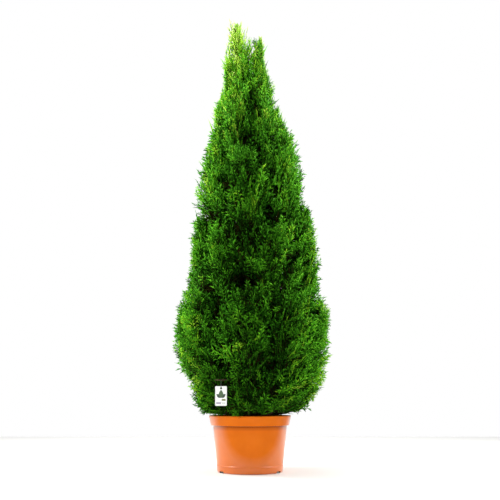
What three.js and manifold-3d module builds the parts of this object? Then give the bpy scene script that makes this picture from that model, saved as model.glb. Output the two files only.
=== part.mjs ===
// A young pyramidal thuja (white cedar) in a ten-litre nursery pot, in millimetres, +Z up.
//
// The origin is on the pot's axis, on the level ground that the pot stands on, and -Y is the front.
// A leaning trunk rises out of the compost and forks into two leaders. Boughs climb from the trunk
// to upright plumes of foliage, which stand in tiers round it. Each plume is one solid: a stem, the
// twigs that branch from it, a core for its dense inside, and the flat toothed sprays on the twigs,
// which stand out of the core. A plume keeps to the space that lies nearer to its own stem than to
// any other.
import * as THREE from "three";
import { mergeVertices } from "three/addons/utils/BufferGeometryUtils.js";
import Module from "manifold-3d";

const wasm = await Module();
wasm.setup();

// ---- Driving dimensions -------------------------------------------------------------------------

const CLEARANCE = 0.3; // between any two solids that touch in life

const pot = {
  rimRadius: 150, // outside the rim's upper edge
  height: 199,
  rimBand: 35, // height of the collar under the rim
  rimDraft: 7, // the collar narrows by this much downwards
  step: 8, // from the collar in to the wall
  footRadius: 118,
  wall: 3,
  floorLift: 8, // the floor stands this far off the ground between the foot ring and the hub
  footRing: 6, // thickness of the foot ring
  hubRadius: 42, // the flat middle that stands on the ground
  footChamfer: 4,
  ridgeHeight: 24, // a shallow ridge round the wall near the foot
  ridge: 1.2,
  notches: 3,
  notchFrom: 210, // degrees, the first drainage notch in the foot ring
  notchWidth: 28,
  notchHeight: 6,
  drainRadius: 7,
  drains: 6,
  drainCircle: 80,
  sides: 32,
};
const soil = { top: 176, dome: 4, sides: 20 };

const crown = {
  height: 1769, // top of the taller leader
  radius: 308, // at the widest height
  widest: 500,
  foot: 204,
  footShare: 0.6, // radius at the foot over the greatest radius
  footPower: 2,
  taper: 0.6, // power of the taper above the widest height
};
// The crown's middle leans a little to the right at mid height and to the left at the top.
const crownLine = [
  new THREE.Vector3(8, 0, crown.foot),
  new THREE.Vector3(5, 0, 520),
  new THREE.Vector3(18, 0, 860),
  new THREE.Vector3(4, 0, 1180),
  new THREE.Vector3(-14, 0, 1480),
  new THREE.Vector3(-30, 0, crown.height),
];

const trunk = {
  foot: soil.top + soil.dome + CLEARANCE,
  top: 1520,
  footRadius: 16,
  tipRadius: 3.2,
  flare: 10, // added at the compost by the root flare, which dies out upwards
  flareHeight: 24,
  sides: 10,
  rings: 14,
};
// The trunk stands upright, bows to the right and leans left towards the top.
const trunkLine = [
  new THREE.Vector3(0, 0, trunk.foot),
  new THREE.Vector3(5, 3, 420),
  new THREE.Vector3(10, 2, 700),
  new THREE.Vector3(10, -2, 960),
  new THREE.Vector3(0, -3, 1220),
  new THREE.Vector3(-20, -1, 1420),
  new THREE.Vector3(-38, 0, trunk.top),
];
const sideLeader = { fork: 1180, top: 1400, topX: 34, footRadius: 6, tipRadius: 3.2, sides: 6 };
const bough = { sides: 5, tipRadius: 4, pieces: 4, stagger: 10 };

// Tiers of plumes, from the pot up. turn is the bearing of a tier's first plume in degrees. Every
// second plume stands higher by twice the stagger, at its foot and at its tip. in and out are the
// shares of the crown's radius where a plume's stem starts and ends. girth is a
// plume's greatest radius, and a small belly brings it low. Its stem or bough leaves the trunk the
// height rise below its foot. low and high are the slopes of its lowest and highest sprays in
// degrees. The sprays stand closer near its foot where footward is more than 1.
const tiers = [
  {
    name: "skirt",
    count: 8,
    turn: -100,
    foot: 216,
    tip: 650,
    stagger: [0, 55],
    in: 0.62,
    out: 0.8,
    girth: 116,
    belly: 0.5,
    rise: 22,
    bough: 5.5,
    bend: 22,
    low: -4,
    high: 68,
    footward: 1.5,
    sprays: 14,
  },
  {
    name: "lower",
    count: 7,
    turn: -71,
    foot: 440,
    tip: 880,
    stagger: [45, 50],
    in: 0.46,
    out: 0.78,
    girth: 116,
    belly: 0.75,
    rise: 90,
    bough: 6.5,
    bend: 45,
    low: 20,
    high: 70,
    footward: 1,
    sprays: 11,
  },
  {
    name: "middle",
    count: 6,
    turn: -98,
    foot: 730,
    tip: 1200,
    stagger: [45, 50],
    in: 0.46,
    out: 0.76,
    girth: 108,
    belly: 0.75,
    rise: 90,
    bough: 6,
    bend: 45,
    low: 22,
    high: 72,
    footward: 1,
    sprays: 10,
  },
  {
    name: "upper",
    count: 6,
    turn: -115,
    foot: 1030,
    tip: 1440,
    stagger: [40, 45],
    in: 0.46,
    out: 0.74,
    girth: 90,
    belly: 0.75,
    rise: 60,
    low: 28,
    high: 74,
    footward: 1,
    sprays: 8,
  },
  {
    name: "shoulder",
    count: 3,
    turn: -145,
    foot: 1290,
    tip: 1620,
    stagger: [30, 30],
    in: 0.46,
    out: 0.66,
    girth: 72,
    belly: 0.75,
    rise: 50,
    low: 36,
    high: 78,
    footward: 1,
    sprays: 7,
  },
];
const jitter = { turn: 5, height: 22, share: 0.04 };
// The two plumes at the top, which carry on from the trunk and from the side leader.
const topHabit = { belly: 0.75, low: 56, high: 88, footward: 0.7 };
const tops = [
  { ...topHabit, name: "leader", tip: crown.height, tipX: -49, girth: 52, sprays: 12 },
  { ...topHabit, name: "side_leader", tip: 1707, tipX: 42, girth: 46, sprays: 10 },
];

const stem = { footRadius: 3.1, topRadius: 2.6, tipRadius: 1.4, sides: 4 };
const core = {
  rings: 6,
  sides: 7,
  from: 0.05, // shares of the stem's length where the first and last rings are
  to: 0.9,
  standOut: 34, // the sprays reach this far past it
  gap: 5, // to the border of the plume's space
  fill: 0.9, // of the plume's girth
  hollow: 0.36, // share of the crown's radius that stays open round the trunk
  fromTrunk: 10,
  least: 7,
  step: 3,
  lumps: 0.15,
};
const spray = {
  length: 124,
  least: 46,
  spread: 0.2, // of the length, by chance
  width: 0.62, // of its length
  thickness: 3.6,
  cup: 14, // how far the side teeth bend back
  twigIn: 22, // the twig runs this far into the core,
  twigDown: 16, // and this far down it
  gap: 2, // to the border of the plume's space
  over: 12, // above the tip of the plume's stem
  lift: 0.6, // power of the share of the stem's length, so that the slopes steepen early
  tries: 90,
};
// Outline of a spray's blade, as shares of its width and length: side teeth on either hand of the
// tip. It narrows from there to the twig's root in the core.
const sprayOutline = [
  [0.5, 0.52],
  [0.2, 0.56],
  [0.02, 1],
  [-0.18, 0.66],
  [-0.5, 0.7],
];
const ridgeAt = 0.38;
// Turns between one twig and the next, and shares of the stem's length, that spread them evenly.
const TWIG_TURN = 0.5698402910;
const TWIG_STEP = 0.7548776662;

const label = {
  width: 40,
  height: 66,
  thickness: 1,
  x: -99,
  y: -212,
  z: 268, // of the card's middle
  corner: 3,
  holeRadius: 3.5,
  holeDrop: 7, // from the card's upper edge to the middle of the hole
  room: 4, // kept free of foliage round it
};
const tie = { gauge: 1, radius: 6, sides: 5, segments: 12 };
const labelTwig = { plume: "skirt_foliage_1", share: 0.3, radius: 2, z: 322, reach: 22, sides: 3 };

// ---- Shapes -------------------------------------------------------------------------------------

const UP = new THREE.Vector3(0, 0, 1);
const radians = THREE.MathUtils.degToRad;
const lerp = THREE.MathUtils.lerp;
const clamp = THREE.MathUtils.clamp;

// A repeatable stream of numbers from 0 to 1.
function seeded(seed) {
  let state = seed >>> 0;
  return () => {
    state = (state + 0x6d2b79f5) >>> 0;
    let t = Math.imul(state ^ (state >>> 15), 1 | state);
    t = (t + Math.imul(t ^ (t >>> 7), 61 | t)) ^ t;
    return ((t ^ (t >>> 14)) >>> 0) / 4294967296;
  };
}

// The point of a line at a height. Past its ends it runs on upright.
function atHeight(line, z) {
  let k = 1;
  while (k < line.length - 1 && line[k].z < z) k++;
  const share = clamp((z - line[k - 1].z) / (line[k].z - line[k - 1].z), 0, 1);
  return line[k - 1].clone().lerp(line[k], share).setZ(z);
}

function middle(points) {
  return points.reduce((sum, p) => sum.add(p), new THREE.Vector3()).divideScalar(points.length);
}

// A closed skin over rings that have the same number of points, drawn together at both ends.
function loft(rings, start = middle(rings[0]), end = middle(rings.at(-1))) {
  const sides = rings[0].length;
  const points = [...rings.flat(), start, end];
  const faces = [];
  for (let k = 0; k + 1 < rings.length; k++)
    for (let i = 0; i < sides; i++) {
      const a = k * sides + i;
      const b = k * sides + ((i + 1) % sides);
      faces.push(a, b, b + sides, a, b + sides, a + sides);
    }
  const last = (rings.length - 1) * sides;
  for (let i = 0; i < sides; i++) {
    const j = (i + 1) % sides;
    faces.push(j, i, points.length - 2, last + i, last + j, points.length - 1);
  }
  return new THREE.BufferGeometry().setFromPoints(points).setIndex(faces);
}

// A ring of points round a place, square to a direction.
function ringAt(centre, direction, radius, sides) {
  const turn = new THREE.Quaternion().setFromUnitVectors(UP, direction);
  return Array.from({ length: sides }, (_, i) => {
    const a = (2 * Math.PI * i) / sides;
    const spoke = new THREE.Vector3(Math.cos(a) * radius, Math.sin(a) * radius, 0);
    return spoke.applyQuaternion(turn).add(centre);
  });
}

// A limb through points that tapers from one radius to another.
function limb(points, footRadius, tipRadius, sides) {
  const rings = points.map((p, i) => {
    const before = points[Math.max(i - 1, 0)];
    const after = points[Math.min(i + 1, points.length - 1)];
    const direction = after.clone().sub(before).normalize();
    return ringAt(p, direction, lerp(footRadius, tipRadius, i / (points.length - 1)), sides);
  });
  return loft(rings);
}

// A profile of [radius, height] pairs turned round the Z axis.
function turned(profile, sides) {
  const points = profile.map(([r, z]) => new THREE.Vector2(r, z));
  return new THREE.LatheGeometry(points, sides).rotateX(Math.PI / 2);
}

function solidOf(geometry) {
  const bare = new THREE.BufferGeometry();
  bare.setAttribute("position", geometry.getAttribute("position"));
  if (geometry.index) bare.setIndex(geometry.index);
  const merged = mergeVertices(bare, 1e-3);
  const mesh = new wasm.Mesh({
    numProp: 3,
    vertProperties: merged.getAttribute("position").array,
    triVerts: new Uint32Array(merged.index.array),
  });
  return new wasm.Manifold(mesh);
}

function geometryOf(solid) {
  const mesh = solid.getMesh();
  const geometry = new THREE.BufferGeometry();
  geometry.setAttribute("position", new THREE.BufferAttribute(mesh.vertProperties, 3));
  geometry.setIndex(new THREE.BufferAttribute(mesh.triVerts, 1));
  return geometry;
}

// The largest body of a solid, without loose scraps and with its sealed hollows filled.
function mainBody(solid) {
  return solid.decompose().reduce((a, b) => (a.volume() > b.volume() ? a : b));
}

const materials = {
  pot: { color: 0xe0752c, roughness: 0.45, metalness: 0 },
  soil: { color: 0x2b1d13, roughness: 0.95, metalness: 0 },
  bark: { color: 0x5b4330, roughness: 0.9, metalness: 0 },
  foliage: { color: 0x3f8c18, roughness: 0.65, metalness: 0 },
  card: { color: 0xf4f5f2, roughness: 0.4, metalness: 0 },
  tie: { color: 0x1d2a1a, roughness: 0.5, metalness: 0 },
};

const plant = new THREE.Group();

function place(name, geometry, material) {
  const mesh = new THREE.Mesh(geometry, new THREE.MeshStandardMaterial(materials[material]));
  mesh.name = name;
  plant.add(mesh);
}

// ---- Pot and compost ----------------------------------------------------------------------------

const wallTop = pot.rimRadius - pot.rimDraft - pot.step;
const collarFoot = pot.height - pot.rimBand;

// Outer radius of the wall at a height, under the collar.
function wallRadius(z) {
  return lerp(pot.footRadius, wallTop, z / collarFoot);
}

function potGeometry() {
  const floorTop = pot.floorLift + pot.wall;
  const inside = (z) => wallRadius(z) - pot.wall;
  const collarInside = pot.rimRadius - pot.rimDraft - pot.wall;
  const profile = [
    [0, 0],
    [pot.hubRadius, 0],
    [pot.hubRadius + pot.wall, pot.floorLift],
    [pot.footRadius - pot.footRing, pot.floorLift],
    [pot.footRadius - pot.footRing, 0],
    [pot.footRadius - pot.footChamfer, 0],
    [pot.footRadius, pot.footChamfer],
    [wallRadius(pot.ridgeHeight) + pot.ridge, pot.ridgeHeight],
    [wallRadius(pot.ridgeHeight + 2), pot.ridgeHeight + 2],
    [wallTop, collarFoot],
    [wallTop + pot.step, collarFoot],
    [pot.rimRadius, pot.height - 3],
    [pot.rimRadius - 2, pot.height],
    [pot.rimRadius - 7, pot.height],
    [collarInside, collarFoot + pot.wall],
    [inside(collarFoot), collarFoot + pot.wall],
    [inside(floorTop), floorTop],
    [pot.hubRadius, floorTop],
    [pot.hubRadius - pot.wall, pot.wall],
    [0, pot.wall],
  ];
  let shell = solidOf(turned(profile, pot.sides));
  for (let i = 0; i < pot.notches; i++) {
    const notch = new THREE.BoxGeometry(4 * pot.footRing, pot.notchWidth, 2 * pot.notchHeight);
    notch.translate(pot.footRadius - pot.footRing, 0, 0);
    notch.rotateZ(radians(pot.notchFrom + (360 * i) / pot.notches));
    shell = shell.subtract(solidOf(notch));
  }
  for (let i = 0; i < pot.drains; i++) {
    const drain = new THREE.CylinderGeometry(pot.drainRadius, pot.drainRadius, 4 * pot.wall, 10);
    drain.rotateX(Math.PI / 2).translate(pot.drainCircle, 0, pot.floorLift + pot.wall / 2);
    drain.rotateZ(radians(30 + (360 * i) / pot.drains));
    shell = shell.subtract(solidOf(drain));
  }
  return geometryOf(shell);
}

function soilGeometry() {
  const floorTop = pot.floorLift + pot.wall + CLEARANCE;
  const inside = (z) => wallRadius(z) - pot.wall - 2 * CLEARANCE;
  const collarInside = pot.rimRadius - pot.rimDraft - pot.wall - 2 * CLEARANCE;
  const ledge = collarFoot + pot.wall + CLEARANCE;
  return turned(
    [
      [0, pot.wall + CLEARANCE],
      [pot.hubRadius - pot.wall - 2 * CLEARANCE, pot.wall + CLEARANCE],
      [pot.hubRadius - CLEARANCE, floorTop],
      [inside(floorTop), floorTop],
      [inside(collarFoot), ledge],
      [collarInside, ledge],
      [collarInside, soil.top - 2],
      [trunk.footRadius * 5, soil.top + soil.dome / 2],
      [trunk.footRadius * 2.5, soil.top + soil.dome],
      [0, soil.top + soil.dome],
    ],
    soil.sides,
  );
}

// ---- Trunk, side leader and boughs --------------------------------------------------------------

function trunkRadius(z) {
  const share = clamp((z - trunk.foot) / (trunk.top - trunk.foot), 0, 1);
  const flare = trunk.flare * Math.exp((trunk.foot - z) / trunk.flareHeight);
  return lerp(trunk.footRadius, trunk.tipRadius, share) + flare;
}

// The trunk, or with more the room that other solids leave round it.
function trunkGeometry(more = 0) {
  const rings = [];
  for (let k = 0; k < trunk.rings; k++) {
    const z = lerp(trunk.foot - more, trunk.top + more, (k / (trunk.rings - 1)) ** 1.5);
    rings.push(ringAt(atHeight(trunkLine, z), UP, trunkRadius(z) + more, trunk.sides));
  }
  return loft(rings);
}

// The side leader's middle line, from inside the trunk at the fork to its top.
function sideLeaderPoints(more = 0) {
  const from = atHeight(trunkLine, sideLeader.fork);
  return [0, 0.25, 0.5, 0.75, 1].map((share) => {
    const z = lerp(sideLeader.fork, sideLeader.top, share) + (share === 1 ? more : 0);
    return new THREE.Vector3(lerp(from.x, sideLeader.topX, share ** 0.8), from.y, z);
  });
}

function sideLeaderGeometry(more = 0) {
  const { footRadius, tipRadius, sides } = sideLeader;
  return limb(sideLeaderPoints(more), footRadius + more, tipRadius + more, sides);
}

// A bough's middle line: out of the trunk, and upright where it meets its plume's stem.
function boughPoints(plume, more = 0) {
  const to = plume.at(0);
  const direction = plume.at(0.05).sub(to).normalize();
  const from = atHeight(trunkLine, to.z - plume.rise + bough.stagger * (plume.number % 2));
  const bend = to.clone().addScaledVector(direction, -plume.bend);
  const points = new THREE.QuadraticBezierCurve3(from, bend, to).getPoints(bough.pieces);
  const end = points.at(-1).clone().sub(points.at(-2)).normalize();
  points.at(-1).addScaledVector(end, more);
  return points;
}

function boughGeometry(plume, more = 0) {
  return limb(boughPoints(plume, more), plume.bough + more, bough.tipRadius + more, bough.sides);
}

// ---- The plumes' spaces -------------------------------------------------------------------------

// Radius of the whole crown at a height, from the crown's middle.
function crownRadius(z) {
  if (z >= crown.widest) {
    const share = clamp((z - crown.widest) / (crown.height - crown.widest), 0, 1);
    return crown.radius * (1 - share) ** crown.taper;
  }
  const share = clamp((crown.widest - z) / (crown.widest - crown.foot), 0, 1);
  return crown.radius * (1 - (1 - crown.footShare) * share ** crown.footPower);
}

function bearing(degrees) {
  return new THREE.Vector3(Math.cos(radians(degrees)), Math.sin(radians(degrees)), 0);
}

// One plume of a tier. Its stem's line leans out from foot to tip.
function tierPlume(tier, i, random) {
  const swing = (size) => (2 * random() - 1) * size;
  const out = bearing(tier.turn + (360 * i) / tier.count + swing(jitter.turn));
  const side = i % 2 ? 1 : -1;
  const foot = tier.foot + side * tier.stagger[0];
  const tip = tier.tip + side * tier.stagger[1] + swing(jitter.height);
  const last = tier.out + swing(jitter.share);
  const at = (t) => {
    const z = lerp(foot, tip, t);
    return atHeight(crownLine, z).addScaledVector(out, crownRadius(z) * lerp(tier.in, last, t));
  };
  return { ...tier, name: `${tier.name}_foliage_${i + 1}`, number: i + 1, out, at, random };
}

// A top plume, whose stem carries on from the last two points of a limb.
function topPlume(top, limbPoints, random) {
  const [before, start] = limbPoints.slice(-2);
  const slope = (start.x - before.x) / (start.z - before.z);
  const lean = (top.tipX - start.x) / (top.tip - start.z);
  const at = (t) => {
    const rise = (top.tip - start.z) * t;
    return new THREE.Vector3(start.x + rise * lerp(slope, lean, t), start.y, start.z + rise);
  };
  return { ...top, name: `${top.name}_foliage`, isTop: true, out: bearing(-90), at, random };
}

function planPlumes() {
  const plumes = [];
  for (const tier of tiers)
    for (let i = 0; i < tier.count; i++) plumes.push(tierPlume(tier, i, seeded(1000 + 37 * plumes.length)));
  plumes.push(topPlume(tops[0], trunkLine, seeded(77)));
  plumes.push(topPlume(tops[1], sideLeaderPoints(), seeded(78)));
  for (const plume of plumes) plume.line = Array.from({ length: 13 }, (_, k) => plume.at(k / 12));
  return plumes;
}

const plumes = planPlumes();
const segment = new THREE.Line3();
const nearest = new THREE.Vector3();

// Distance from a point to a plume's stem, and the share of the stem's length there.
function toStem(point, plume) {
  let distance = Infinity;
  let share = 0;
  const pieces = plume.line.length - 1;
  for (let k = 0; k < pieces; k++) {
    segment.set(plume.line[k], plume.line[k + 1]);
    const t = segment.closestPointToPointParameter(point, true);
    const d = segment.at(t, nearest).distanceTo(point);
    if (d < distance) {
      distance = d;
      share = (k + t) / pieces;
    }
  }
  return { distance, share };
}

// How far a point lies inside the border between a plume and its nearest neighbour.
function insideSpace(point, plume) {
  const own = toStem(point, plume).distance;
  let least = Infinity;
  for (const other of plumes) {
    if (other === plume) continue;
    const far = toStem(point, other).distance;
    least = Math.min(least, (far * plume.girth - own * other.girth) / (plume.girth + other.girth));
  }
  return least;
}

function fromLine(point, line) {
  const axis = atHeight(line, point.z);
  return Math.hypot(point.x - axis.x, point.y - axis.y);
}

// A plume is narrow at its foot, widest below its middle and drawn out to its tip.
function plumeRadius(plume, share) {
  return plume.girth * Math.sin(Math.PI * clamp(share, 0.02, 0.98) ** plume.belly) ** 0.4;
}

// How wide a top plume's sprays may spread: it draws in to its tip.
function topRadius(plume, z) {
  const { z: foot } = plume.line[0];
  const { z: tip } = plume.line.at(-1);
  return plume.girth * Math.sqrt(clamp((tip - z) / (0.5 * (tip - foot)), 0.04, 1));
}

// True where the dense core of a plume may be.
function inCore(point, plume) {
  const { distance, share } = toStem(point, plume);
  if (distance > core.fill * plumeRadius(plume, share)) return false;
  if (insideSpace(point, plume) < core.gap) return false;
  if (plume.isTop) return distance < 0.5 * topRadius(plume, point.z);
  if (fromLine(point, trunkLine) < trunkRadius(point.z) + core.fromTrunk) return false;
  const reach = fromLine(point, crownLine) / crownRadius(point.z);
  return reach > core.hollow && (1 - reach) * crownRadius(point.z) > core.standOut;
}

// ---- Growing a plume ----------------------------------------------------------------------------

// The core's rings of reaches: how far it goes out from the stem, level, in each direction.
function coreReaches(plume) {
  const probe = new THREE.Vector3();
  const direction = new THREE.Vector3();
  return Array.from({ length: core.rings }, (_, k) => {
    const centre = plume.at(lerp(core.from, core.to, k / (core.rings - 1)));
    return Array.from({ length: core.sides }, (_, i) => {
      const angle = (2 * Math.PI * i) / core.sides;
      direction.set(Math.cos(angle), Math.sin(angle), 0);
      const fits = (reach) => inCore(probe.copy(centre).addScaledVector(direction, reach), plume);
      let reach = core.least;
      while (fits(reach + core.step)) reach += core.step;
      return Math.max(core.least, reach * (1 - core.lumps * plume.random()));
    });
  });
}

function coreSolid(plume) {
  const rings = plume.reaches.map((reaches, k) => {
    const centre = plume.at(lerp(core.from, core.to, k / (core.rings - 1)));
    return reaches.map((reach, i) => {
      const angle = (2 * Math.PI * i) / core.sides;
      return centre.clone().add(new THREE.Vector3(Math.cos(angle) * reach, Math.sin(angle) * reach, 0));
    });
  });
  return solidOf(loft(rings, plume.at(core.from - 0.04), plume.at(core.to + 0.07)));
}

// The core's reach between its rings and directions.
function skinAt(plume, share, turn) {
  const up = clamp((share - core.from) / (core.to - core.from), 0, 0.999) * (core.rings - 1);
  const round = turn * core.sides;
  const [k, i] = [Math.floor(up), Math.floor(round)];
  const next = (i + 1) % core.sides;
  const along = (reaches) => lerp(reaches[i % core.sides], reaches[next], round - i);
  return lerp(along(plume.reaches[k]), along(plume.reaches[k + 1]), up - k);
}

// The stem, from its bough's tip, from the top of a leader or out of the trunk, to near its tip.
function stemSolid(plume) {
  const points = [0.04, 0.3, 0.55, 0.8, 0.95].map(plume.at);
  if (plume.bough) points.unshift(...boughPoints(plume, 2 * CLEARANCE).slice(-1));
  else if (plume.isTop) points.unshift(plume.at(0));
  else points.unshift(atHeight(trunkLine, plume.at(0).z - plume.rise), plume.at(0));
  const footRadius = plume.isTop ? stem.topRadius : stem.footRadius;
  return solidOf(limb(points, footRadius, stem.tipRadius, stem.sides));
}

// One flat toothed spray, thickest along its middle, with its side teeth bent back. Its twig runs
// down and in from the blade's base to its root in the core.
function makeSpray(base, direction, face, length, hand) {
  const across = new THREE.Vector3().crossVectors(direction, face).normalize();
  const normal = new THREE.Vector3().crossVectors(across, direction);
  const at = (x, y, lift) => {
    const point = base.clone().addScaledVector(direction, y);
    return point.addScaledVector(across, x * hand).addScaledVector(normal, lift);
  };
  const teeth = sprayOutline.map(([x, y]) =>
    at(x * spray.width * length, y * length, -spray.cup * (4 * x * x - 0.6 * y * y)),
  );
  const outline = [at(0, -spray.twigDown, -spray.twigIn), ...teeth];
  const n = outline.length;
  const ridge = ridgeAt * length;
  const points = [...outline, at(0, ridge, spray.thickness / 2), at(0, ridge, -spray.thickness / 2)];
  const faces = [];
  for (let i = 0; i < n; i++) {
    const [a, b] = hand > 0 ? [i, (i + 1) % n] : [(i + 1) % n, i];
    faces.push(a, b, n, b, a, n + 1);
  }
  const geometry = new THREE.BufferGeometry().setFromPoints(points).setIndex(faces);
  return { solid: solidOf(geometry), teeth };
}

// True if the teeth of a spray keep to its plume's space and to the crown's outline.
function keepsToSpace(teeth, plume) {
  return teeth.every((p) => {
    const tip = plume.line.at(-1).z;
    if (p.z < crown.foot || p.z > tip + spray.over) return false;
    if (!plume.isTop && fromLine(p, crownLine) > crownRadius(p.z)) return false;
    if (plume.isTop && fromLine(p, plume.line) > topRadius(plume, p.z)) return false;
    return insideSpace(p, plume) > spray.gap;
  });
}

// Where a plume's spray number k stands and how it points. The first is at the tip of the stem.
function sprayAt(plume, k) {
  const swing = (size) => (2 * plume.random() - 1) * size;
  const turn = (k * TWIG_TURN) % 1;
  const share = ((k * TWIG_STEP) % 1) ** plume.footward;
  const angle = 2 * Math.PI * turn;
  const level = new THREE.Vector3(Math.cos(angle), Math.sin(angle), 0);
  const slope = radians(lerp(plume.low, plume.high, share ** spray.lift) + swing(12));
  const direction = level.clone().multiplyScalar(Math.cos(slope)).setZ(Math.sin(slope));
  const face = level.clone().applyAxisAngle(direction, swing(0.8));
  const base = plume.at(share).addScaledVector(level, skinAt(plume, share, turn) + 2);
  return { base, direction, face, level, length: spray.length * (1 + swing(spray.spread)) };
}

function tipSprayAt(plume) {
  const base = plume.at(core.to + 0.05);
  const direction = plume.at(1).sub(base);
  const length = direction.length();
  return { base, direction: direction.normalize(), face: plume.out, level: plume.out, length };
}

// The stem, twigs and sprays of one plume on its core, clear of the limbs.
function growPlume(plume, limbRoom) {
  plume.reaches = coreReaches(plume);
  const heart = coreSolid(plume);
  const sprays = [];
  let solid = heart.add(stemSolid(plume));
  for (let k = 0; k < spray.tries && sprays.length < plume.sprays; k++) {
    const { base, direction, face, level, length: wanted } = k === 0 ? tipSprayAt(plume) : sprayAt(plume, k);
    if (!plume.isTop && level.dot(plume.out) < -0.3) continue;
    for (let length = wanted; length > (plume.isTop ? 0.7 : 1) * spray.least; length *= 0.85) {
      const made = makeSpray(base, direction, face, length, k % 2 ? 1 : -1);
      if (k > 0 && !keepsToSpace(made.teeth, plume)) continue;
      const outside = made.solid.subtract(heart);
      if ([limbRoom, labelRoom, ...sprays].some((other) => !outside.intersect(other).isEmpty())) continue;
      sprays.push(outside);
      solid = solid.add(made.solid);
      break;
    }
  }
  if (plume.name === labelTwig.plume) solid = solid.add(labelTwigSolid(plume));
  return mainBody(solid.subtract(limbRoom));
}

// ---- Label --------------------------------------------------------------------------------------

const holeZ = label.z + label.height / 2 - label.holeDrop;

function cardGeometry() {
  const x = label.width / 2;
  const y = label.height / 2;
  const c = label.corner;
  const outline = [
    [x, c - y],
    [x, y - c],
    [x - c, y],
    [c - x, y],
    [-x, y - c],
    [-x, c - y],
    [c - x, -y],
    [x - c, -y],
  ];
  const card = new THREE.Shape(outline.map(([u, v]) => new THREE.Vector2(u, v)));
  card.holes.push(new THREE.Path().absarc(0, y - label.holeDrop, label.holeRadius, 0, 2 * Math.PI, true));
  const geometry = new THREE.ExtrudeGeometry(card, {
    depth: label.thickness,
    bevelEnabled: false,
    curveSegments: 6,
  });
  return geometry.rotateX(Math.PI / 2).translate(label.x, label.y + label.thickness / 2, label.z);
}

// A loop of cord, through the card's hole at its foot and over the label's twig at its top.
function tieGeometry() {
  const geometry = new THREE.TorusGeometry(tie.radius, tie.gauge, tie.sides, tie.segments);
  const position = geometry.getAttribute("position");
  const foot = holeZ + label.holeRadius - CLEARANCE - 1.5 * tie.gauge;
  const head = labelTwig.z + labelTwig.radius + CLEARANCE + tie.gauge;
  const stretch = head - foot - 2 * tie.radius;
  for (let i = 0; i < position.count; i++)
    if (position.getY(i) > 2 * tie.gauge) position.setY(i, position.getY(i) + stretch);
  geometry.rotateX(Math.PI / 2).rotateZ(Math.PI / 2);
  return geometry.translate(label.x, label.y, foot + tie.radius);
}

// The twig that the label hangs on: out of its plume, then level along the front of it.
function labelTwigSolid(plume) {
  const { radius, reach, sides } = labelTwig;
  const bend = new THREE.Vector3(label.x + reach, label.y, labelTwig.z);
  const end = new THREE.Vector3(label.x - reach, label.y, labelTwig.z);
  const inner = limb([plume.at(labelTwig.share), bend], stem.tipRadius, radius, sides);
  const level = limb([bend.clone().setX(bend.x + radius), end], radius, radius, sides);
  return solidOf(inner).add(solidOf(level));
}

// The space round the label, its tie and their twig, which foliage leaves free.
function labelRoomSolid() {
  const top = labelTwig.z + 3 * labelTwig.radius;
  const foot = label.z - label.height / 2 - label.room;
  const room = new THREE.BoxGeometry(label.width + 2 * label.room, 60, top - foot);
  return solidOf(room.translate(label.x, label.y + tie.radius + label.room - 30, (top + foot) / 2));
}

// ---- The plant ----------------------------------------------------------------------------------

const trunkRoom = solidOf(trunkGeometry(CLEARANCE));
const labelRoom = labelRoomSolid();
let limbRoom = trunkRoom.add(solidOf(sideLeaderGeometry(CLEARANCE)));

place("pot", potGeometry(), "pot");
place("compost", soilGeometry(), "soil");
place("trunk", trunkGeometry(), "bark");
place("side_leader", geometryOf(mainBody(solidOf(sideLeaderGeometry()).subtract(trunkRoom))), "bark");
for (const plume of plumes.filter((p) => p.bough)) {
  const name = plume.name.replace("foliage", "bough");
  place(name, geometryOf(mainBody(solidOf(boughGeometry(plume)).subtract(trunkRoom))), "bark");
  limbRoom = limbRoom.add(solidOf(boughGeometry(plume, CLEARANCE)));
}
place("label_card", cardGeometry(), "card");
place("label_tie", tieGeometry(), "tie");
for (const plume of plumes) place(plume.name, geometryOf(growPlume(plume, limbRoom)), "foliage");

export default plant;
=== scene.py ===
import math

import bmesh
import bpy
import numpy as np
from mathutils import Matrix, Vector, noise


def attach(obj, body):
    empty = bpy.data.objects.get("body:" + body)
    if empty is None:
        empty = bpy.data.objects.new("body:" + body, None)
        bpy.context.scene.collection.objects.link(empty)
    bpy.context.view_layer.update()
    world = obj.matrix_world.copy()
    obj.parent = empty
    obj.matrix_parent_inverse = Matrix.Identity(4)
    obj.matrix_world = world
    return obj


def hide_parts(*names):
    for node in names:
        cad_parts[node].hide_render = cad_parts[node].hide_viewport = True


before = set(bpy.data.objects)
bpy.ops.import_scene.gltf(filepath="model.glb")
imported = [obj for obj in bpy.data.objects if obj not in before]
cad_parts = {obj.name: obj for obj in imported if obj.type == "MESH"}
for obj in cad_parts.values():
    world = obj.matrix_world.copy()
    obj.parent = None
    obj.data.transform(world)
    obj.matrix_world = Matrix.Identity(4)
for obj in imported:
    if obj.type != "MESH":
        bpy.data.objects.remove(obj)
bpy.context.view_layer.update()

scene = bpy.context.scene

# ---- Camera, light and floor --------------------------------------------------------------------

PITCH = 11.28  # degrees that the camera looks up
camera = bpy.data.objects.new("camera", bpy.data.cameras.new("camera"))
scene.collection.objects.link(camera)
scene.camera = camera
camera.data.sensor_width = 36.0
camera.data.lens = 53.56
camera.location = (0.0, -2.8, 0.26)
camera.rotation_euler = (math.radians(90 + PITCH), 0, 0)
camera.data.clip_end = 100.0
scene.view_settings.view_transform = "Standard"

FLOOR_WHITE = 0.82
FLOOR_SIZE = 5.0
WORLD_BASE = 0.29  # the soft light from every side
WORLD_SIDES = (1.0, 0.3, 0.1)  # what is added from the sides, from front and back, and from above
WARM = (1, 0.99, 0.95)


def fill(tree, node, inputs):
    """Sets a node's inputs: each is a value or the output of another node."""
    for name, value in inputs.items():
        if isinstance(value, bpy.types.NodeSocket):
            tree.links.new(value, node.inputs[name])
        else:
            node.inputs[name].default_value = value


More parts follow.
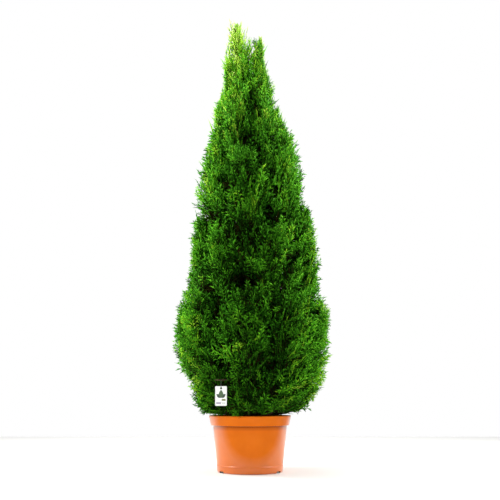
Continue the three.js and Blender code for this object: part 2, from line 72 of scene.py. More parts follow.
def add_node(tree, kind, inputs, **settings):
    node = tree.nodes.new(kind)
    for name, value in settings.items():
        setattr(node, name, value)
    fill(tree, node, inputs)
    return node.outputs


def area_light(name, place, aim, width, height, watts, colour=(1, 1, 1)):
    data = bpy.data.lights.new(name, "AREA")
    data.shape = "RECTANGLE"
    data.size, data.size_y = width, height
    data.energy = watts
    data.color = colour
    light = bpy.data.objects.new(name, data)
    scene.collection.objects.link(light)
    light.location = place
    light.rotation_mode = "QUATERNION"
    light.rotation_quaternion = (Vector(aim) - Vector(place)).to_track_quat("-Z", "Y")
    light.visible_camera = False


def make_studio():
    area_light("side_left", (-1.7, 0.2, 2.5), (0, 0, 0.6), 1.0, 1.0, 92, WARM)
    area_light("side_right", (1.7, 0.2, 2.5), (0, 0, 0.6), 1.0, 1.0, 72, WARM)
    area_light("wash", (0, 2.0, 3.0), (0, 1.9, 0), 4.0, 1.6, 12)
    area_light("front", (0, -2.6, 0.55), (0, 0, 0.3), 0.8, 0.4, 6)
    area_light("top", (0, -0.4, 3.4), (0, 0, 0.9), 1.8, 1.8, 22)

    world = bpy.data.worlds.new("studio")
    scene.world = world
    world.use_nodes = True
    tree = world.node_tree
    tree.nodes.clear()
    way = add_node(tree, "ShaderNodeTexCoord", {})["Generated"]
    square = add_node(tree, "ShaderNodeVectorMath", {0: way, 1: way}, operation="MULTIPLY")["Vector"]
    fourth = add_node(tree, "ShaderNodeVectorMath", {0: square, 1: square}, operation="MULTIPLY")["Vector"]
    inputs = {0: fourth, 1: WORLD_SIDES}
    sides = add_node(tree, "ShaderNodeVectorMath", inputs, operation="DOT_PRODUCT")["Value"]
    strength = add_node(tree, "ShaderNodeMath", {0: sides, 1: WORLD_BASE}, operation="ADD")["Value"]
    white = (1, 1, 1, 1)
    soft = add_node(tree, "ShaderNodeBackground", {"Color": white, "Strength": strength})[0]
    plain_white = add_node(tree, "ShaderNodeBackground", {"Color": white})[0]
    seen = add_node(tree, "ShaderNodeLightPath", {})["Is Camera Ray"]
    mix = add_node(tree, "ShaderNodeMixShader", {"Fac": seen, 1: soft, 2: plain_white})[0]
    add_node(tree, "ShaderNodeOutputWorld", {"Surface": mix})


def make_floor():
    bm = bmesh.new()
    bmesh.ops.create_grid(bm, x_segments=2, y_segments=2, size=FLOOR_SIZE / 2)
    mesh = bpy.data.meshes.new("floor")
    bm.to_mesh(mesh)
    bm.free()
    floor = bpy.data.objects.new("floor", mesh)
    scene.collection.objects.link(floor)
    floor.location.z = -0.0004
    material = bpy.data.materials.new("floor_white")
    material.use_nodes = True
    colour = (FLOOR_WHITE, FLOOR_WHITE, FLOOR_WHITE, 1)
    shader = material.node_tree.nodes["Principled BSDF"]
    fill(material.node_tree, shader, {"Base Color": colour, "Roughness": 0.9, "Specular IOR Level": 0.1})
    mesh.materials.append(material)


make_studio()
make_floor()

# ---- The plant's plan, in metres, as in the solid model -----------------------------------------

MM = 0.001
CROWN = {
    "height": 1769, "radius": 308, "widest": 500, "foot": 204, "foot_share": 0.6, "foot_power": 2,
    "taper": 0.6,
}
CROWN_LINE = np.array(
    [(8, 0, 204), (5, 0, 520), (18, 0, 860), (4, 0, 1180), (-14, 0, 1480), (-30, 0, 1769)]
) * MM
TRUNK = {"foot": 180.3, "top": 1520, "foot_radius": 16, "tip_radius": 3.2, "flare": 10, "flare_height": 24}
TRUNK_LINE = np.array(
    [(0, 0, 180.3), (5, 3, 420), (10, 2, 700), (10, -2, 960), (0, -3, 1220), (-20, -1, 1420), (-38, 0, 1520)]
) * MM
SIDE_LEADER = {"fork": 1180, "top": 1400, "top_x": 34, "foot_radius": 6, "tip_radius": 3.2}
BOUGH = {"tip_radius": 4, "stagger": 10}
STEM = {"foot_radius": 3.4, "tip_radius": 1.1}
# The plumes of each tier: the course of their stems, the slopes of their twigs in degrees, what grows on
# them, and how wide a spray spreads (in radians) and how slender its fronds are.
TIERS = [
    {
        "name": "skirt", "count": 8, "turn": -100, "foot": 216, "tip": 650, "stagger": (0, 55), "in": 0.62,
        "out": 0.8, "girth": 116, "rise": 22, "bough": 5.5, "bend": 22, "low": -4, "high": 68,
        "twigs": 96, "footward": 1.5, "pairs": 3, "spears": 8, "inner": 140, "hem": 230,
        "spread": 0.85, "narrow": 1.0,
    },
    {
        "name": "lower", "count": 7, "turn": -71, "foot": 440, "tip": 880, "stagger": (45, 50), "in": 0.46,
        "out": 0.78, "girth": 116, "rise": 90, "bough": 6.5, "bend": 45, "low": 20, "high": 70,
        "twigs": 88, "pairs": 3, "spears": 10, "inner": 130, "spread": 0.8, "narrow": 0.95,
    },
    {
        "name": "middle", "count": 6, "turn": -98, "foot": 730, "tip": 1200, "stagger": (45, 50), "in": 0.46,
        "out": 0.76, "girth": 108, "rise": 90, "bough": 6, "bend": 45, "low": 22, "high": 72,
        "twigs": 82, "pairs": 3, "spears": 16, "inner": 110, "spread": 0.64, "narrow": 0.8,
    },
    {
        "name": "upper", "count": 6, "turn": -115, "foot": 1030, "tip": 1440, "stagger": (40, 45), "in": 0.46,
        "out": 0.74, "girth": 90, "rise": 60, "low": 28, "high": 74,
        "twigs": 68, "pairs": 3, "spears": 26, "inner": 100, "spread": 0.44, "narrow": 0.62,
    },
    {
        "name": "shoulder", "count": 3, "turn": -145, "foot": 1290, "tip": 1620, "stagger": (30, 30),
        "in": 0.46, "out": 0.66, "girth": 72, "rise": 50, "low": 36, "high": 78,
        "twigs": 54, "pairs": 3, "spears": 32, "inner": 90, "spread": 0.34, "narrow": 0.5,
    },
]
JITTER = {"turn": 5, "height": 22, "share": 0.04}
TOPS = [
    {
        "name": "leader", "tip": 1769, "tip_x": -49, "girth": 56, "low": 50, "high": 82,
        "twigs": 44, "pairs": 2, "spears": 38, "inner": 24, "spread": 0.26, "narrow": 0.42,
    },
    {
        # The side leader's paler steps are painted light, against the shade that falls on it.
        "name": "side_leader", "tip": 1707, "tip_x": 42, "girth": 42, "low": 54, "high": 84, "paler": 2.8,
        "twigs": 38, "pairs": 2, "spears": 36, "inner": 20, "spread": 0.24, "narrow": 0.42,
    },
]
TWIG_TURN = 0.5698402910
TWIG_STEP = 0.7548776662
# Height, middle and radius of the outline that the frond tips keep to, inside the crown's reach.
OUTLINE = np.array(
    [(204, -4, 181), (262, 20, 236), (330, 24, 260), (422, 4, 297), (600, 12, 292), (690, 9, 253),
     (760, 21, 256), (900, 16, 238), (1000, 4, 224), (1080, 2, 212), (1122, 9, 210), (1204, 5, 188),
     (1245, 14, 182), (1300, 6, 158), (1371, -16, 134), (1456, -4, 110), (1500, -6, 106),
     (1545, -16, 91), (1590, -27, 86), (1780, -20, 76)]
) * MM
# Steps of green by height: how much painted shade is taken off all round, how much painted light the flanks
# get, and the painted shade of the cleft between the two leaders.
PAINTED_SHADE_BY_HEIGHT = ([0.25, 0.4, 0.85, 1.0, 1.4, 1.6, 1.7], [0.0, 0.35, 0.35, 0.0, -0.1, 0.4, 1.1])
PAINTED_FLANK_LIGHT = ([0.8, 0.95, 1.2, 1.35], [1.7, 0.3, 0.2, 1.3])
CLEFT = {"x": 0.010, "z": [1.28, 1.38, 1.52, 1.62], "half_width": 0.022, "darker": 2.2}
POINT = {"below": 0.12, "above": 0.07, "girth": 1.3, "power": 0.7}  # how a plume narrows to its tip
# The foliage's foot: clear of the pot's rim, and a little lower inside it.
HEM = {"foot": 0.2015, "dip": 0.013, "rim": 0.132, "heights": (0.192, 0.232)}
TRUNK_GAP = 0.004  # kept free round the trunk
LABEL = {
    "width": 40, "height": 66, "thickness": 1, "x": -99, "y": -212, "z": 268, "corner": 3,
    "hole": 3.5, "hole_drop": 7,
}
LABEL_ROOM = {"aside": 24, "behind": 12, "below": 40, "above": 62}  # kept free of foliage, from its middle
LABEL_TWIG = {"share": 0.3, "radius": 2, "z": 322, "reach": 22}
LIFT = 0.6  # power of the share of the stem's length, so that the slopes steepen early


def seeded(seed):
    """The same repeatable stream of numbers from 0 to 1 as the solid model's."""
    state = seed & 0xFFFFFFFF

    def draw():
        nonlocal state
        state = (state + 0x6D2B79F5) & 0xFFFFFFFF
        t = ((state ^ (state >> 15)) * (1 | state)) & 0xFFFFFFFF
        t = ((t + (((t ^ (t >> 7)) * (61 | t)) & 0xFFFFFFFF)) & 0xFFFFFFFF) ^ t
        return ((t ^ (t >> 14)) & 0xFFFFFFFF) / 4294967296

    return draw


def on_line(line, z):
    """Points of a line at heights."""
    z = np.asarray(z, float)
    return np.stack([np.interp(z, line[:, 2], line[:, 0]), np.interp(z, line[:, 2], line[:, 1]), z], -1)


def crown_radius(z):
    """Radius of the whole crown's reach at a height, from the crown's middle."""
    z = np.asarray(z, float) / MM
    up = np.clip((z - CROWN["widest"]) / (CROWN["height"] - CROWN["widest"]), 0, 1)
    down = np.clip((CROWN["widest"] - z) / (CROWN["widest"] - CROWN["foot"]), 0, 1)
    above = (1 - up) ** CROWN["taper"]
    below = 1 - (1 - CROWN["foot_share"]) * down ** CROWN["foot_power"]
    return CROWN["radius"] * MM * np.where(z >= CROWN["widest"], above, below)


def outline_room(points):
    """How far each point is inside the outline of the foliage."""
    middle = np.interp(points[:, 2], OUTLINE[:, 0], OUTLINE[:, 1])
    radius = np.interp(points[:, 2], OUTLINE[:, 0], OUTLINE[:, 2])
    return radius - np.hypot(points[:, 0] - middle, points[:, 1])


def trunk_radius(z):
    share = np.clip((z / MM - TRUNK["foot"]) / (TRUNK["top"] - TRUNK["foot"]), 0, 1)
    flare = TRUNK["flare"] * np.exp((TRUNK["foot"] - z / MM) / TRUNK["flare_height"])
    return (TRUNK["foot_radius"] + (TRUNK["tip_radius"] - TRUNK["foot_radius"]) * share + flare) * MM


def side_leader_points():
    start = on_line(TRUNK_LINE, SIDE_LEADER["fork"] * MM)
    shares = np.linspace(0, 1, 5)
    z = (SIDE_LEADER["fork"] + (SIDE_LEADER["top"] - SIDE_LEADER["fork"]) * shares) * MM
    x = start[0] + (SIDE_LEADER["top_x"] * MM - start[0]) * shares**0.8
    return np.stack([x, np.full(5, start[1]), z], -1)


def plan_plumes():
    plumes = []
    for tier in TIERS:
        for i in range(tier["count"]):
            draw = seeded(1000 + 37 * len(plumes))
            turn = math.radians(tier["turn"] + 360 * i / tier["count"] + (2 * draw() - 1) * JITTER["turn"])
            out = np.array([math.cos(turn), math.sin(turn), 0])
            side = 1 if i % 2 else -1
            foot = tier["foot"] + side * tier["stagger"][0]
            tip = tier["tip"] + side * tier["stagger"][1] + (2 * draw() - 1) * JITTER["height"]
            last = tier["out"] + (2 * draw() - 1) * JITTER["share"]

            def at(t, tier=tier, foot=foot, tip=tip, last=last, out=out):
                t = np.asarray(t, float)
                z = (foot + (tip - foot) * t) * MM
                reach = crown_radius(z) * (tier["in"] + (last - tier["in"]) * t)
                return on_line(CROWN_LINE, z) + reach[..., None] * out

            node = f"{tier['name']}_foliage_{i + 1}"
            plumes.append({**tier, "node": node, "number": i + 1, "out": out, "at": at})
    for top, points in zip(TOPS, (TRUNK_LINE, side_leader_points())):
        before, start = points[-2:]
        slope = (start[0] - before[0]) / (start[2] - before[2])
        lean = (top["tip_x"] * MM - start[0]) / (top["tip"] * MM - start[2])

        def at(t, start=start, slope=slope, lean=lean, tip=top["tip"] * MM):
            t = np.asarray(t, float)
            rise = (tip - start[2]) * t
            x = start[0] + rise * (slope + (lean - slope) * t)
            return np.stack([x, start[1] + 0 * t, start[2] + rise], -1)

        front = np.array([0, -1.0, 0])
        plumes.append({**top, "node": f"{top['name']}_foliage", "is_top": True, "out": front, "at": at})
    for plume in plumes:
        plume["line"] = plume["at"](np.linspace(0, 1, 13))
    return plumes


PLUMES = plan_plumes()


def to_stem(points, plume):
    """Distance of each point to a plume's stem, and the share of the stem's length there."""
    a, b = plume["line"][:-1], plume["line"][1:]
    along = b - a
    t = np.clip(np.einsum("nkd,kd->nk", points[:, None] - a, along) / np.sum(along**2, 1), 0, 1)
    d = np.linalg.norm(points[:, None] - (a + t[..., None] * along), axis=2)
    k = d.argmin(1)
    rows = np.arange(len(points))
    return d[rows, k], (k + t[rows, k]) / len(a)


def inside_space(points, plume):
    """How far each point lies inside the border between a plume and its nearest neighbour."""
    own, _ = to_stem(points, plume)
    least = np.full(len(points), 9.0)
    for other in PLUMES:
        if other is plume:
            continue
        far, _ = to_stem(points, other)
        a, b = plume["girth"], other["girth"]
        least = np.minimum(least, (far * a - own * b) / (a + b))
    return own, least


def from_line(points, line):
    """How far each point is from a line at the same height."""
    return np.linalg.norm(points[:, :2] - on_line(line, points[:, 2])[:, :2], axis=1)


def in_label_room(points):
    x, y, z = ((points / MM)[:, i] - LABEL[axis] for i, axis in enumerate("xyz"))
    room = LABEL_ROOM
    return (np.abs(x) < room["aside"]) & (y < room["behind"]) & (z > -room["below"]) & (z < room["above"])


def keeps_to_space(points, plume, gap=0.0, tapered=True):
    """True where a point keeps to its plume's space and to the crown's outline."""
    tip = plume["line"][-1, 2]
    within_rim = np.hypot(points[:, 0], points[:, 1]) < HEM["rim"]
    good = points[:, 2] > HEM["foot"] - HEM["dip"] * within_rim
    if plume.get("is_top"):
        foot = plume["line"][0, 2]
        wide = plume["girth"] * MM * np.sqrt(np.clip((tip - points[:, 2]) / (0.5 * (tip - foot)), 0.04, 1))
        good &= (from_line(points, plume["line"]) < wide) & (points[:, 2] < tip)
    good &= outline_room(points) > 0
    own, least = inside_space(points, plume)
    if tapered and not plume.get("is_top"):
        above = np.clip((points[:, 2] - tip + POINT["below"]) / (POINT["below"] + POINT["above"]), 0, 1)
        good &= own < POINT["girth"] * plume["girth"] * MM * (1 - above) ** POINT["power"]
    good &= from_line(points, TRUNK_LINE) > trunk_radius(points[:, 2]) + TRUNK_GAP
    return good & (least > gap) & ~in_label_room(points)


# ---- Materials ----------------------------------------------------------------------------------


def plain(name, colour, roughness, gloss=0.05):
    """One plain colour, for the many small leaves and for the painted shade under the pot."""
    material = bpy.data.materials.new(name)
    material.use_nodes = True
    inputs = {"Base Color": (*colour, 1), "Roughness": roughness, "Specular IOR Level": gloss}
    fill(material.node_tree, material.node_tree.nodes["Principled BSDF"], inputs)
    return material


# From the shaded inside of a plume to its sunlit tips.
GREENS = [
    plain("leaf_withered", (0.020, 0.018, 0.004), 0.9, 0.0),
    plain("leaf_deep", (0.006, 0.031, 0.002), 0.8, 0.0),
    plain("leaf_shade", (0.020, 0.107, 0.005), 0.75, 0.0),
    plain("leaf_mid", (0.061, 0.283, 0.009), 0.7),
    plain("leaf_light", (0.124, 0.480, 0.014), 0.65),
    plain("leaf_bright", (0.280, 0.620, 0.020), 0.65),
    plain("leaf_young", (0.460, 0.740, 0.060), 0.65),
    plain("leaf_tip", (0.620, 0.830, 0.200), 0.65),
]
TWIG_BARK = plain("twig_bark", (0.020, 0.022, 0.007), 0.8, 0.0)


def node_material(name):
    material = bpy.data.materials.new(name)
    material.use_nodes = True
    tree = material.node_tree
    shader = tree.nodes["Principled BSDF"]
    where = tree.nodes.new("ShaderNodeTexCoord")
    return material, tree, shader, where


def make_grain_group():
    """A speckled colour and a height, both from one noise, for every patterned material."""
    group = bpy.data.node_groups.new("grain", "ShaderNodeTree")
    for name, kind in (("Vector", "Vector"), ("Scale", "Float"), ("Detail", "Float"), ("Dark", "Color"),
                       ("Middle", "Color"), ("Light", "Color")):
        group.interface.new_socket(name=name, in_out="INPUT", socket_type="NodeSocket" + kind)
    group.interface.new_socket(name="Color", in_out="OUTPUT", socket_type="NodeSocketColor")
    group.interface.new_socket(name="Height", in_out="OUTPUT", socket_type="NodeSocketFloat")
    given = group.nodes.new("NodeGroupInput")
    result = group.nodes.new("NodeGroupOutput")
    inputs = {name: given.outputs[name] for name in ("Vector", "Scale", "Detail")}
    height = add_node(group, "ShaderNodeTexNoise", {**inputs, "Roughness": 0.6})["Fac"]
    colour = given.outputs["Dark"]
    for low, high, name in ((0.34, 0.54, "Middle"), (0.54, 0.72, "Light")):
        share = add_range(group, height, low, high, 0, 1)
        colour = add_mix(group, "MIX", share, colour, given.outputs[name])
    fill(group, result, {"Color": colour, "Height": height})
    return group


def add_mix(tree, way, share, a, b):
    """Two colours mixed, where the share is a number or another node's output."""
    mix = tree.nodes.new("ShaderNodeMix")
    mix.data_type = "RGBA"
    mix.blend_type = way
    sockets = {(s.name, s.type): s for s in mix.inputs}
    if isinstance(share, (int, float)):
        sockets["Factor", "VALUE"].default_value = share
    else:
        tree.links.new(share, sockets["Factor", "VALUE"])
    tree.links.new(a, sockets["A", "RGBA"])
    tree.links.new(b, sockets["B", "RGBA"])
    return next(s for s in mix.outputs if s.type == "RGBA")


def add_grain(tree, vector, scale, detail=4.0, dark=(0, 0, 0), middle=(0.5, 0.5, 0.5), light=(1, 1, 1)):
    colours = {"Dark": (*dark, 1), "Middle": (*middle, 1), "Light": (*light, 1)}
    inputs = {"Vector": vector, "Scale": scale, "Detail": detail, **colours}
    return add_node(tree, "ShaderNodeGroup", inputs, node_tree=GRAIN)


def add_ramp(tree, value, stops):
    """A colour from a value, through stops of (place, colour)."""
    ramp = tree.nodes.new("ShaderNodeValToRGB")
    while len(ramp.color_ramp.elements) < len(stops):
        ramp.color_ramp.elements.new(0.5)
    for element, (place, colour) in zip(ramp.color_ramp.elements, stops):
        element.position = place
        element.color = (*colour, 1)
    tree.links.new(value, ramp.inputs["Fac"])
    return ramp.outputs["Color"]


def add_range(tree, value, low, high, to_low, to_high):
    inputs = {"Value": value, "From Min": low, "From Max": high, "To Min": to_low, "To Max": to_high}
    return add_node(tree, "ShaderNodeMapRange", inputs)["Result"]


def add_bump(tree, shader, height, strength, distance):
    inputs = {"Strength": strength, "Distance": distance, "Height": height}
    fill(tree, shader, {"Normal": add_node(tree, "ShaderNodeBump", inputs)["Normal"]})


def stretched(tree, where, scale):
    inputs = {"Scale": scale, "Vector": where.outputs["Object"]}
    return add_node(tree, "ShaderNodeMapping", inputs)["Vector"]


GRAIN = make_grain_group()
SHEEN_LEFT = -0.8  # a heavier coat on the left: painted sheen for the stronger light from that side


def pot_material():
    """Satin plastic whose coat is laid out as a painted sheen at its flanks and foot, with a line of painted
    shade under the rim's band.
    """
    material, tree, shader, where = node_material("pot_terracotta_plastic")
    place = where.outputs["Object"]
    cloud = add_grain(tree, place, 14, 3, (0.71, 0.146, 0.002), (0.74, 0.157, 0.003), (0.77, 0.168, 0.005))
    parts = add_node(tree, "ShaderNodeSeparateXYZ", {"Vector": place})
    height = add_range(tree, parts["Z"], 0.0, 0.2, 0, 1)
    # Painted shade: a dark line on the wall just under the rim's band, where the band's overhang shades it.
    under = add_range(tree, parts["Z"], 0.140, 0.170, 0, 1)
    white = (1, 1, 1)
    shades = [(0.2, white), (0.6, (0.68, 0.62, 0.6)), (0.78, (0.30, 0.26, 0.2)), (0.815, white)]
    painted_rim_shade = add_ramp(tree, under, shades)
    colour = add_mix(tree, "MULTIPLY", 1.0, cloud["Color"], painted_rim_shade)
    rough = add_grain(tree, stretched(tree, where, (30, 30, 4)), 3, 3)["Height"]
    rough = add_range(tree, rough, 0.3, 0.7, 0.30, 0.42)
    fill(tree, shader, {"Base Color": colour, "Roughness": rough, "Specular IOR Level": 0.1})
    add_bump(tree, shader, add_grain(tree, place, 900, 2)["Height"], 0.12, 0.0002)
    # The painted sheen starts where this profile up the wall plus the turn away from the viewer passes 0.46.
    # The profile is highest at the foot, a painted reflection of the bright floor.
    profile = [(0.0, 0.75), (0.25, 0.5), (0.35, 0.39), (0.5, 0.27), (0.7, 0.19), (0.805, 0.17), (0.825, 0.0)]
    sheen = add_ramp(tree, height, [(at, (value,) * 3) for at, value in profile])
    turn = add_node(tree, "ShaderNodeLayerWeight", {})["Facing"]
    for value, weight in ((turn, 1.0), (parts["X"], SHEEN_LEFT)):
        inputs = {0: value, 1: weight, 2: sheen}
        sheen = add_node(tree, "ShaderNodeMath", inputs, operation="MULTIPLY_ADD")["Value"]
    coat = add_range(tree, sheen, 0.46, 0.68, 0.0, 0.85)
    fill(tree, shader, {"Coat Weight": coat, "Coat Roughness": 0.3, "Coat IOR": 1.7})
    return material


def soil_material():
    material, tree, shader, where = node_material("potting_compost")
    colours = (0.010, 0.006, 0.004), (0.030, 0.017, 0.009), (0.085, 0.052, 0.028)
    grain = add_grain(tree, where.outputs["Object"], 160, 6, *colours)
    fill(tree, shader, {"Base Color": grain["Color"], "Roughness": 0.95})
    add_bump(tree, shader, grain["Height"], 0.8, 0.002)
    return material


def bark_material():
    material, tree, shader, where = node_material("stringy_bark")
    along = stretched(tree, where, (1, 1, 0.09))
    colours = (0.030, 0.016, 0.009), (0.105, 0.058, 0.032), (0.20, 0.125, 0.075)
    strands = add_grain(tree, along, 420, 5, *colours)
    fill(tree, shader, {"Base Color": strands["Color"], "Roughness": 0.9})
    add_bump(tree, shader, strands["Height"], 0.7, 0.0012)
    return material


def card_material(name, colour, spread=0.04):
    material, tree, shader, where = node_material(name)
    low = tuple(c * (1 - spread) for c in colour)
    fibre = add_grain(tree, where.outputs["Object"], 700, 4, low, colour, colour)
    coat = {"Coat Weight": 0.3, "Coat Roughness": 0.2}
    fill(tree, shader, {"Base Color": fibre["Color"], "Roughness": 0.34, **coat})
    add_bump(tree, shader, fibre["Height"], 0.05, 0.0001)
    return material


POT_PLASTIC = pot_material()
SOIL = soil_material()
# Dark brown: painted shade for the hollow under the pot and its notches.
HOLLOW_SHADE = plain("pot_painted_shade", (0.030, 0.013, 0.005), 0.9)
BARK = bark_material()

# ---- Mesh helpers -------------------------------------------------------------------------------


def finish_piece(name, bm_or_mesh, materials, nodes, smooth=True):
    """A piece at the origin that rides on the plant and stands for nodes of the solid model."""
    if isinstance(bm_or_mesh, bmesh.types.BMesh):
        bmesh.ops.recalc_face_normals(bm_or_mesh, faces=bm_or_mesh.faces)
        mesh = bpy.data.meshes.new(name)
        bm_or_mesh.to_mesh(mesh)
        bm_or_mesh.free()
    else:
        mesh = bm_or_mesh
    for material in materials:
        mesh.materials.append(material)
    if smooth:
        mesh.shade_smooth()
    piece = bpy.data.objects.new(name, mesh)
    scene.collection.objects.link(piece)
    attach(piece, "root")
    if nodes:
        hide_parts(*nodes)
    return piece


def mesh_from_arrays(name, verts, faces, indices):
    mesh = bpy.data.meshes.new(name)
    mesh.vertices.add(len(verts))
    mesh.vertices.foreach_set("co", np.ascontiguousarray(verts, np.float32).ravel())
    mesh.loops.add(len(faces) * 3)
    mesh.loops.foreach_set("vertex_index", np.ascontiguousarray(faces, np.int32).ravel())
    mesh.polygons.add(len(faces))
    mesh.polygons.foreach_set("loop_start", np.arange(0, len(faces) * 3, 3, dtype=np.int32))
    mesh.polygons.foreach_set("material_index", np.ascontiguousarray(indices, np.int32))
    mesh.update(calc_edges=True)
    mesh.validate()
    return mesh


def spin_profile(bm, profile, steps):
    """Turns a profile of (radius, height) pairs in metres round the Z axis."""
    verts = [bm.verts.new((r, 0, z)) for r, z in profile]
    edges = [bm.edges.new(pair) for pair in zip(verts, verts[1:])]
    bmesh.ops.spin(
        bm, geom=verts + edges, cent=(0, 0, 0), axis=(0, 0, 1), angle=2 * math.pi, steps=steps, use_merge=True
    )
    bmesh.ops.remove_doubles(bm, verts=bm.verts, dist=1e-6)


def next_ring(bm, ring):
    """Extrudes an open ring, and gives the new one in the same order."""
    pairs = zip(ring, ring[1:] + ring[:1])
    edges = [edge for v, beside in pairs for edge in v.link_edges if edge.other_vert(v) is beside]
    made = bmesh.ops.extrude_edge_only(bm, edges=edges)["geom"]
    fresh = {v for v in made if isinstance(v, bmesh.types.BMVert)}
    return [next(w for w in (edge.other_vert(v) for edge in v.link_edges) if w in fresh) for v in ring]


def limb_mesh(bm, points, radii, sides, relief=0.0, seed=0.0):
    """A closed limb through points, grown ring by ring, with furrows along it."""
    points = [Vector(p) for p in points]
    across = (points[1] - points[0]).normalized().orthogonal().normalized()
    ring = first = bmesh.ops.create_circle(bm, cap_ends=False, segments=sides, radius=1)["verts"]
    for k, (point, radius) in enumerate(zip(points, radii)):
        along = (points[min(k + 1, len(points) - 1)] - points[max(k - 1, 0)]).normalized()
        across = (across - along * across.dot(along)).normalized()
        other = along.cross(across)
        if k:
            ring = next_ring(bm, ring)
        for i, v in enumerate(ring):
            a = 2 * math.pi * i / sides
            spoke = across * math.cos(a) + other * math.sin(a)
            furrow = noise.noise(Vector((spoke.x * 2.4, spoke.y * 2.4, point.z * 9 + seed)) + spoke * 1.7)
            fine = noise.noise(Vector((math.cos(a) * 5 + seed, math.sin(a) * 5, point.z * 30)))
            v.co = point + spoke * radius * (1 + relief * (0.7 * furrow + 0.5 * fine))
    bm.faces.new(list(reversed(first)))
    bm.faces.new(ring)


# ---- Pot, compost and label ---------------------------------------------------------------------

POT = {
    "rim_radius": 150, "height": 199, "rim_band": 35, "rim_draft": 7, "step": 8, "foot_radius": 118,
    "wall": 3, "floor_lift": 8, "foot_ring": 6, "hub_radius": 42, "ridge_height": 24, "ridge": 1.2,
    "notch_from": 210, "notch_width": 28, "notch_height": 6, "drain_radius": 7, "drain_circle": 80,
}
SOIL_TOP = 176
SOIL_DOME = 4
CLEARANCE = 0.3  # between any two solids that touch in life
COLLAR = POT["rim_radius"] - POT["rim_draft"]
WALL_TOP = COLLAR - POT["step"]
COLLAR_FOOT = POT["height"] - POT["rim_band"]


def wall_radius(z):
    return POT["foot_radius"] + (WALL_TOP - POT["foot_radius"]) * z / COLLAR_FOOT


def inner_wall(z):
    return wall_radius(z) - POT["wall"]


def pot_profile():
    """The pot's section as (radius, height) pairs, from the middle of the hub out, up, and down inside."""
    foot, hub, wall, lift = POT["foot_radius"], POT["hub_radius"], POT["wall"], POT["floor_lift"]
    floor_top = lift + wall
    ring = foot - POT["foot_ring"]
    ridge, top, rim, base = POT["ridge_height"], POT["height"], POT["rim_radius"], COLLAR_FOOT
    points = [(0, 0), (hub - 1, 0), (hub, 0.3), (hub + wall, lift - 0.6), (hub + wall + 1, lift)]
    points += [(ring - 1, lift), (ring, lift - 1), (ring, 0.4), (ring + 0.5, 0), (foot - 4, 0)]
    points += [(foot - 4 + 4 * math.sin(a), 4 - 4 * math.cos(a)) for a in (0.4, 0.8, 1.2, 1.5)]
    points += [(wall_radius(z), z) for z in (6, 12, 18, 21)]
    bead = ((-1.2, 0.3), (-0.4, 0.9), (0.2, 1.0), (0.9, 0.6), (2, 0))
    points += [(wall_radius(ridge) + POT["ridge"] * share, ridge + rise) for rise, share in bead]
    points += [(wall_radius(z), z) for z in (32, 48, 66, 84, 102, 120, 138, 150, 158)]
    points += [(WALL_TOP - 0.3, base - 2), (WALL_TOP + 0.6, base - 0.4), (WALL_TOP + 2, base)]
    points += [(COLLAR - 1.2, base), (COLLAR - 0.3, base + 0.4), (COLLAR, base + 1.2)]
    shares = (0.15, 0.3, 0.5, 0.7, 0.85, 1)
    points += [(COLLAR + POT["rim_draft"] * t, base + t * (top - 3 - base)) for t in shares]
    points += [(rim - 0.1, top - 2), (rim - 0.6, top - 0.9), (rim - 1.4, top - 0.2), (rim - 2.4, top)]
    points += [(rim - 5.6, top), (rim - 6.6, top - 0.3), (rim - 7.2, top - 1.2)]
    points += [(COLLAR - wall + 1.2, base + 14), (COLLAR - wall, base + wall)]
    points += [(inner_wall(base), base + wall)]
    points += [(inner_wall(60), 60), (inner_wall(floor_top), floor_top), (hub, floor_top), (hub - wall, wall)]
    return [(r * MM, z * MM) for r, z in points + [(0, wall)]]


def shade_underside(mesh):
    """The hollow under the pot and its three notches get a dark colour: painted shade in these recesses."""
    inner = (POT["foot_radius"] - POT["foot_ring"] + 0.6) * MM
    outer = (POT["foot_radius"] + 0.3) * MM
    aside = (POT["notch_width"] / 2 + 0.1) * MM
    for face in mesh.polygons:
        x, y, z = face.center
        radius = math.hypot(x, y)
        off = (math.degrees(math.atan2(y, x)) - POT["notch_from"] + 60) % 120 - 60
        across = abs(math.radians(off)) * radius
        in_notch = radius < outer and across < aside and z < (POT["notch_height"] + 0.1) * MM
        if in_notch or (radius < inner and z < (POT["floor_lift"] + 0.1) * MM):
            face.material_index = 1


def make_pot():
    bm = bmesh.new()
    spin_profile(bm, pot_profile(), 144)
    pot = finish_piece("pot_shell", bm, [POT_PLASTIC, HOLLOW_SHADE], ["pot"])
    cutters = bmesh.new()
    for i in range(3):
        turn = Matrix.Rotation(math.radians(POT["notch_from"] + 120 * i), 4, "Z")
        shift = Matrix.Translation(((POT["foot_radius"] - POT["foot_ring"]) * MM, 0, 0))
        sides = (4 * POT["foot_ring"] * MM, POT["notch_width"] * MM, 2 * POT["notch_height"] * MM, 1)
        size = Matrix.Diagonal(sides)
        bmesh.ops.create_cube(cutters, size=1, matrix=turn @ shift @ size)
    for i in range(6):
        turn = Matrix.Rotation(math.radians(30 + 60 * i), 4, "Z")
        shift = Matrix.Translation((POT["drain_circle"] * MM, 0, (POT["floor_lift"] + 1.5) * MM))
        radius = POT["drain_radius"] * MM
        bmesh.ops.create_cone(
            cutters, cap_ends=True, segments=32, radius1=radius, radius2=radius, depth=12 * MM,
            matrix=turn @ shift,
        )
    mesh = bpy.data.meshes.new("cutters")
    cutters.to_mesh(mesh)
    cutters.free()
    tool = bpy.data.objects.new("cutters", mesh)
    scene.collection.objects.link(tool)
    cut = pot.modifiers.new("cut", "BOOLEAN")
    cut.operation = "DIFFERENCE"
    cut.solver = "EXACT"
    cut.object = tool
    shaped = bpy.data.meshes.new_from_object(pot.evaluated_get(bpy.context.evaluated_depsgraph_get()))
    pot.modifiers.clear()
    pot.data = shaped
    shaped.set_sharp_from_angle(angle=math.radians(40))
    shade_underside(shaped)
    bpy.data.objects.remove(tool)


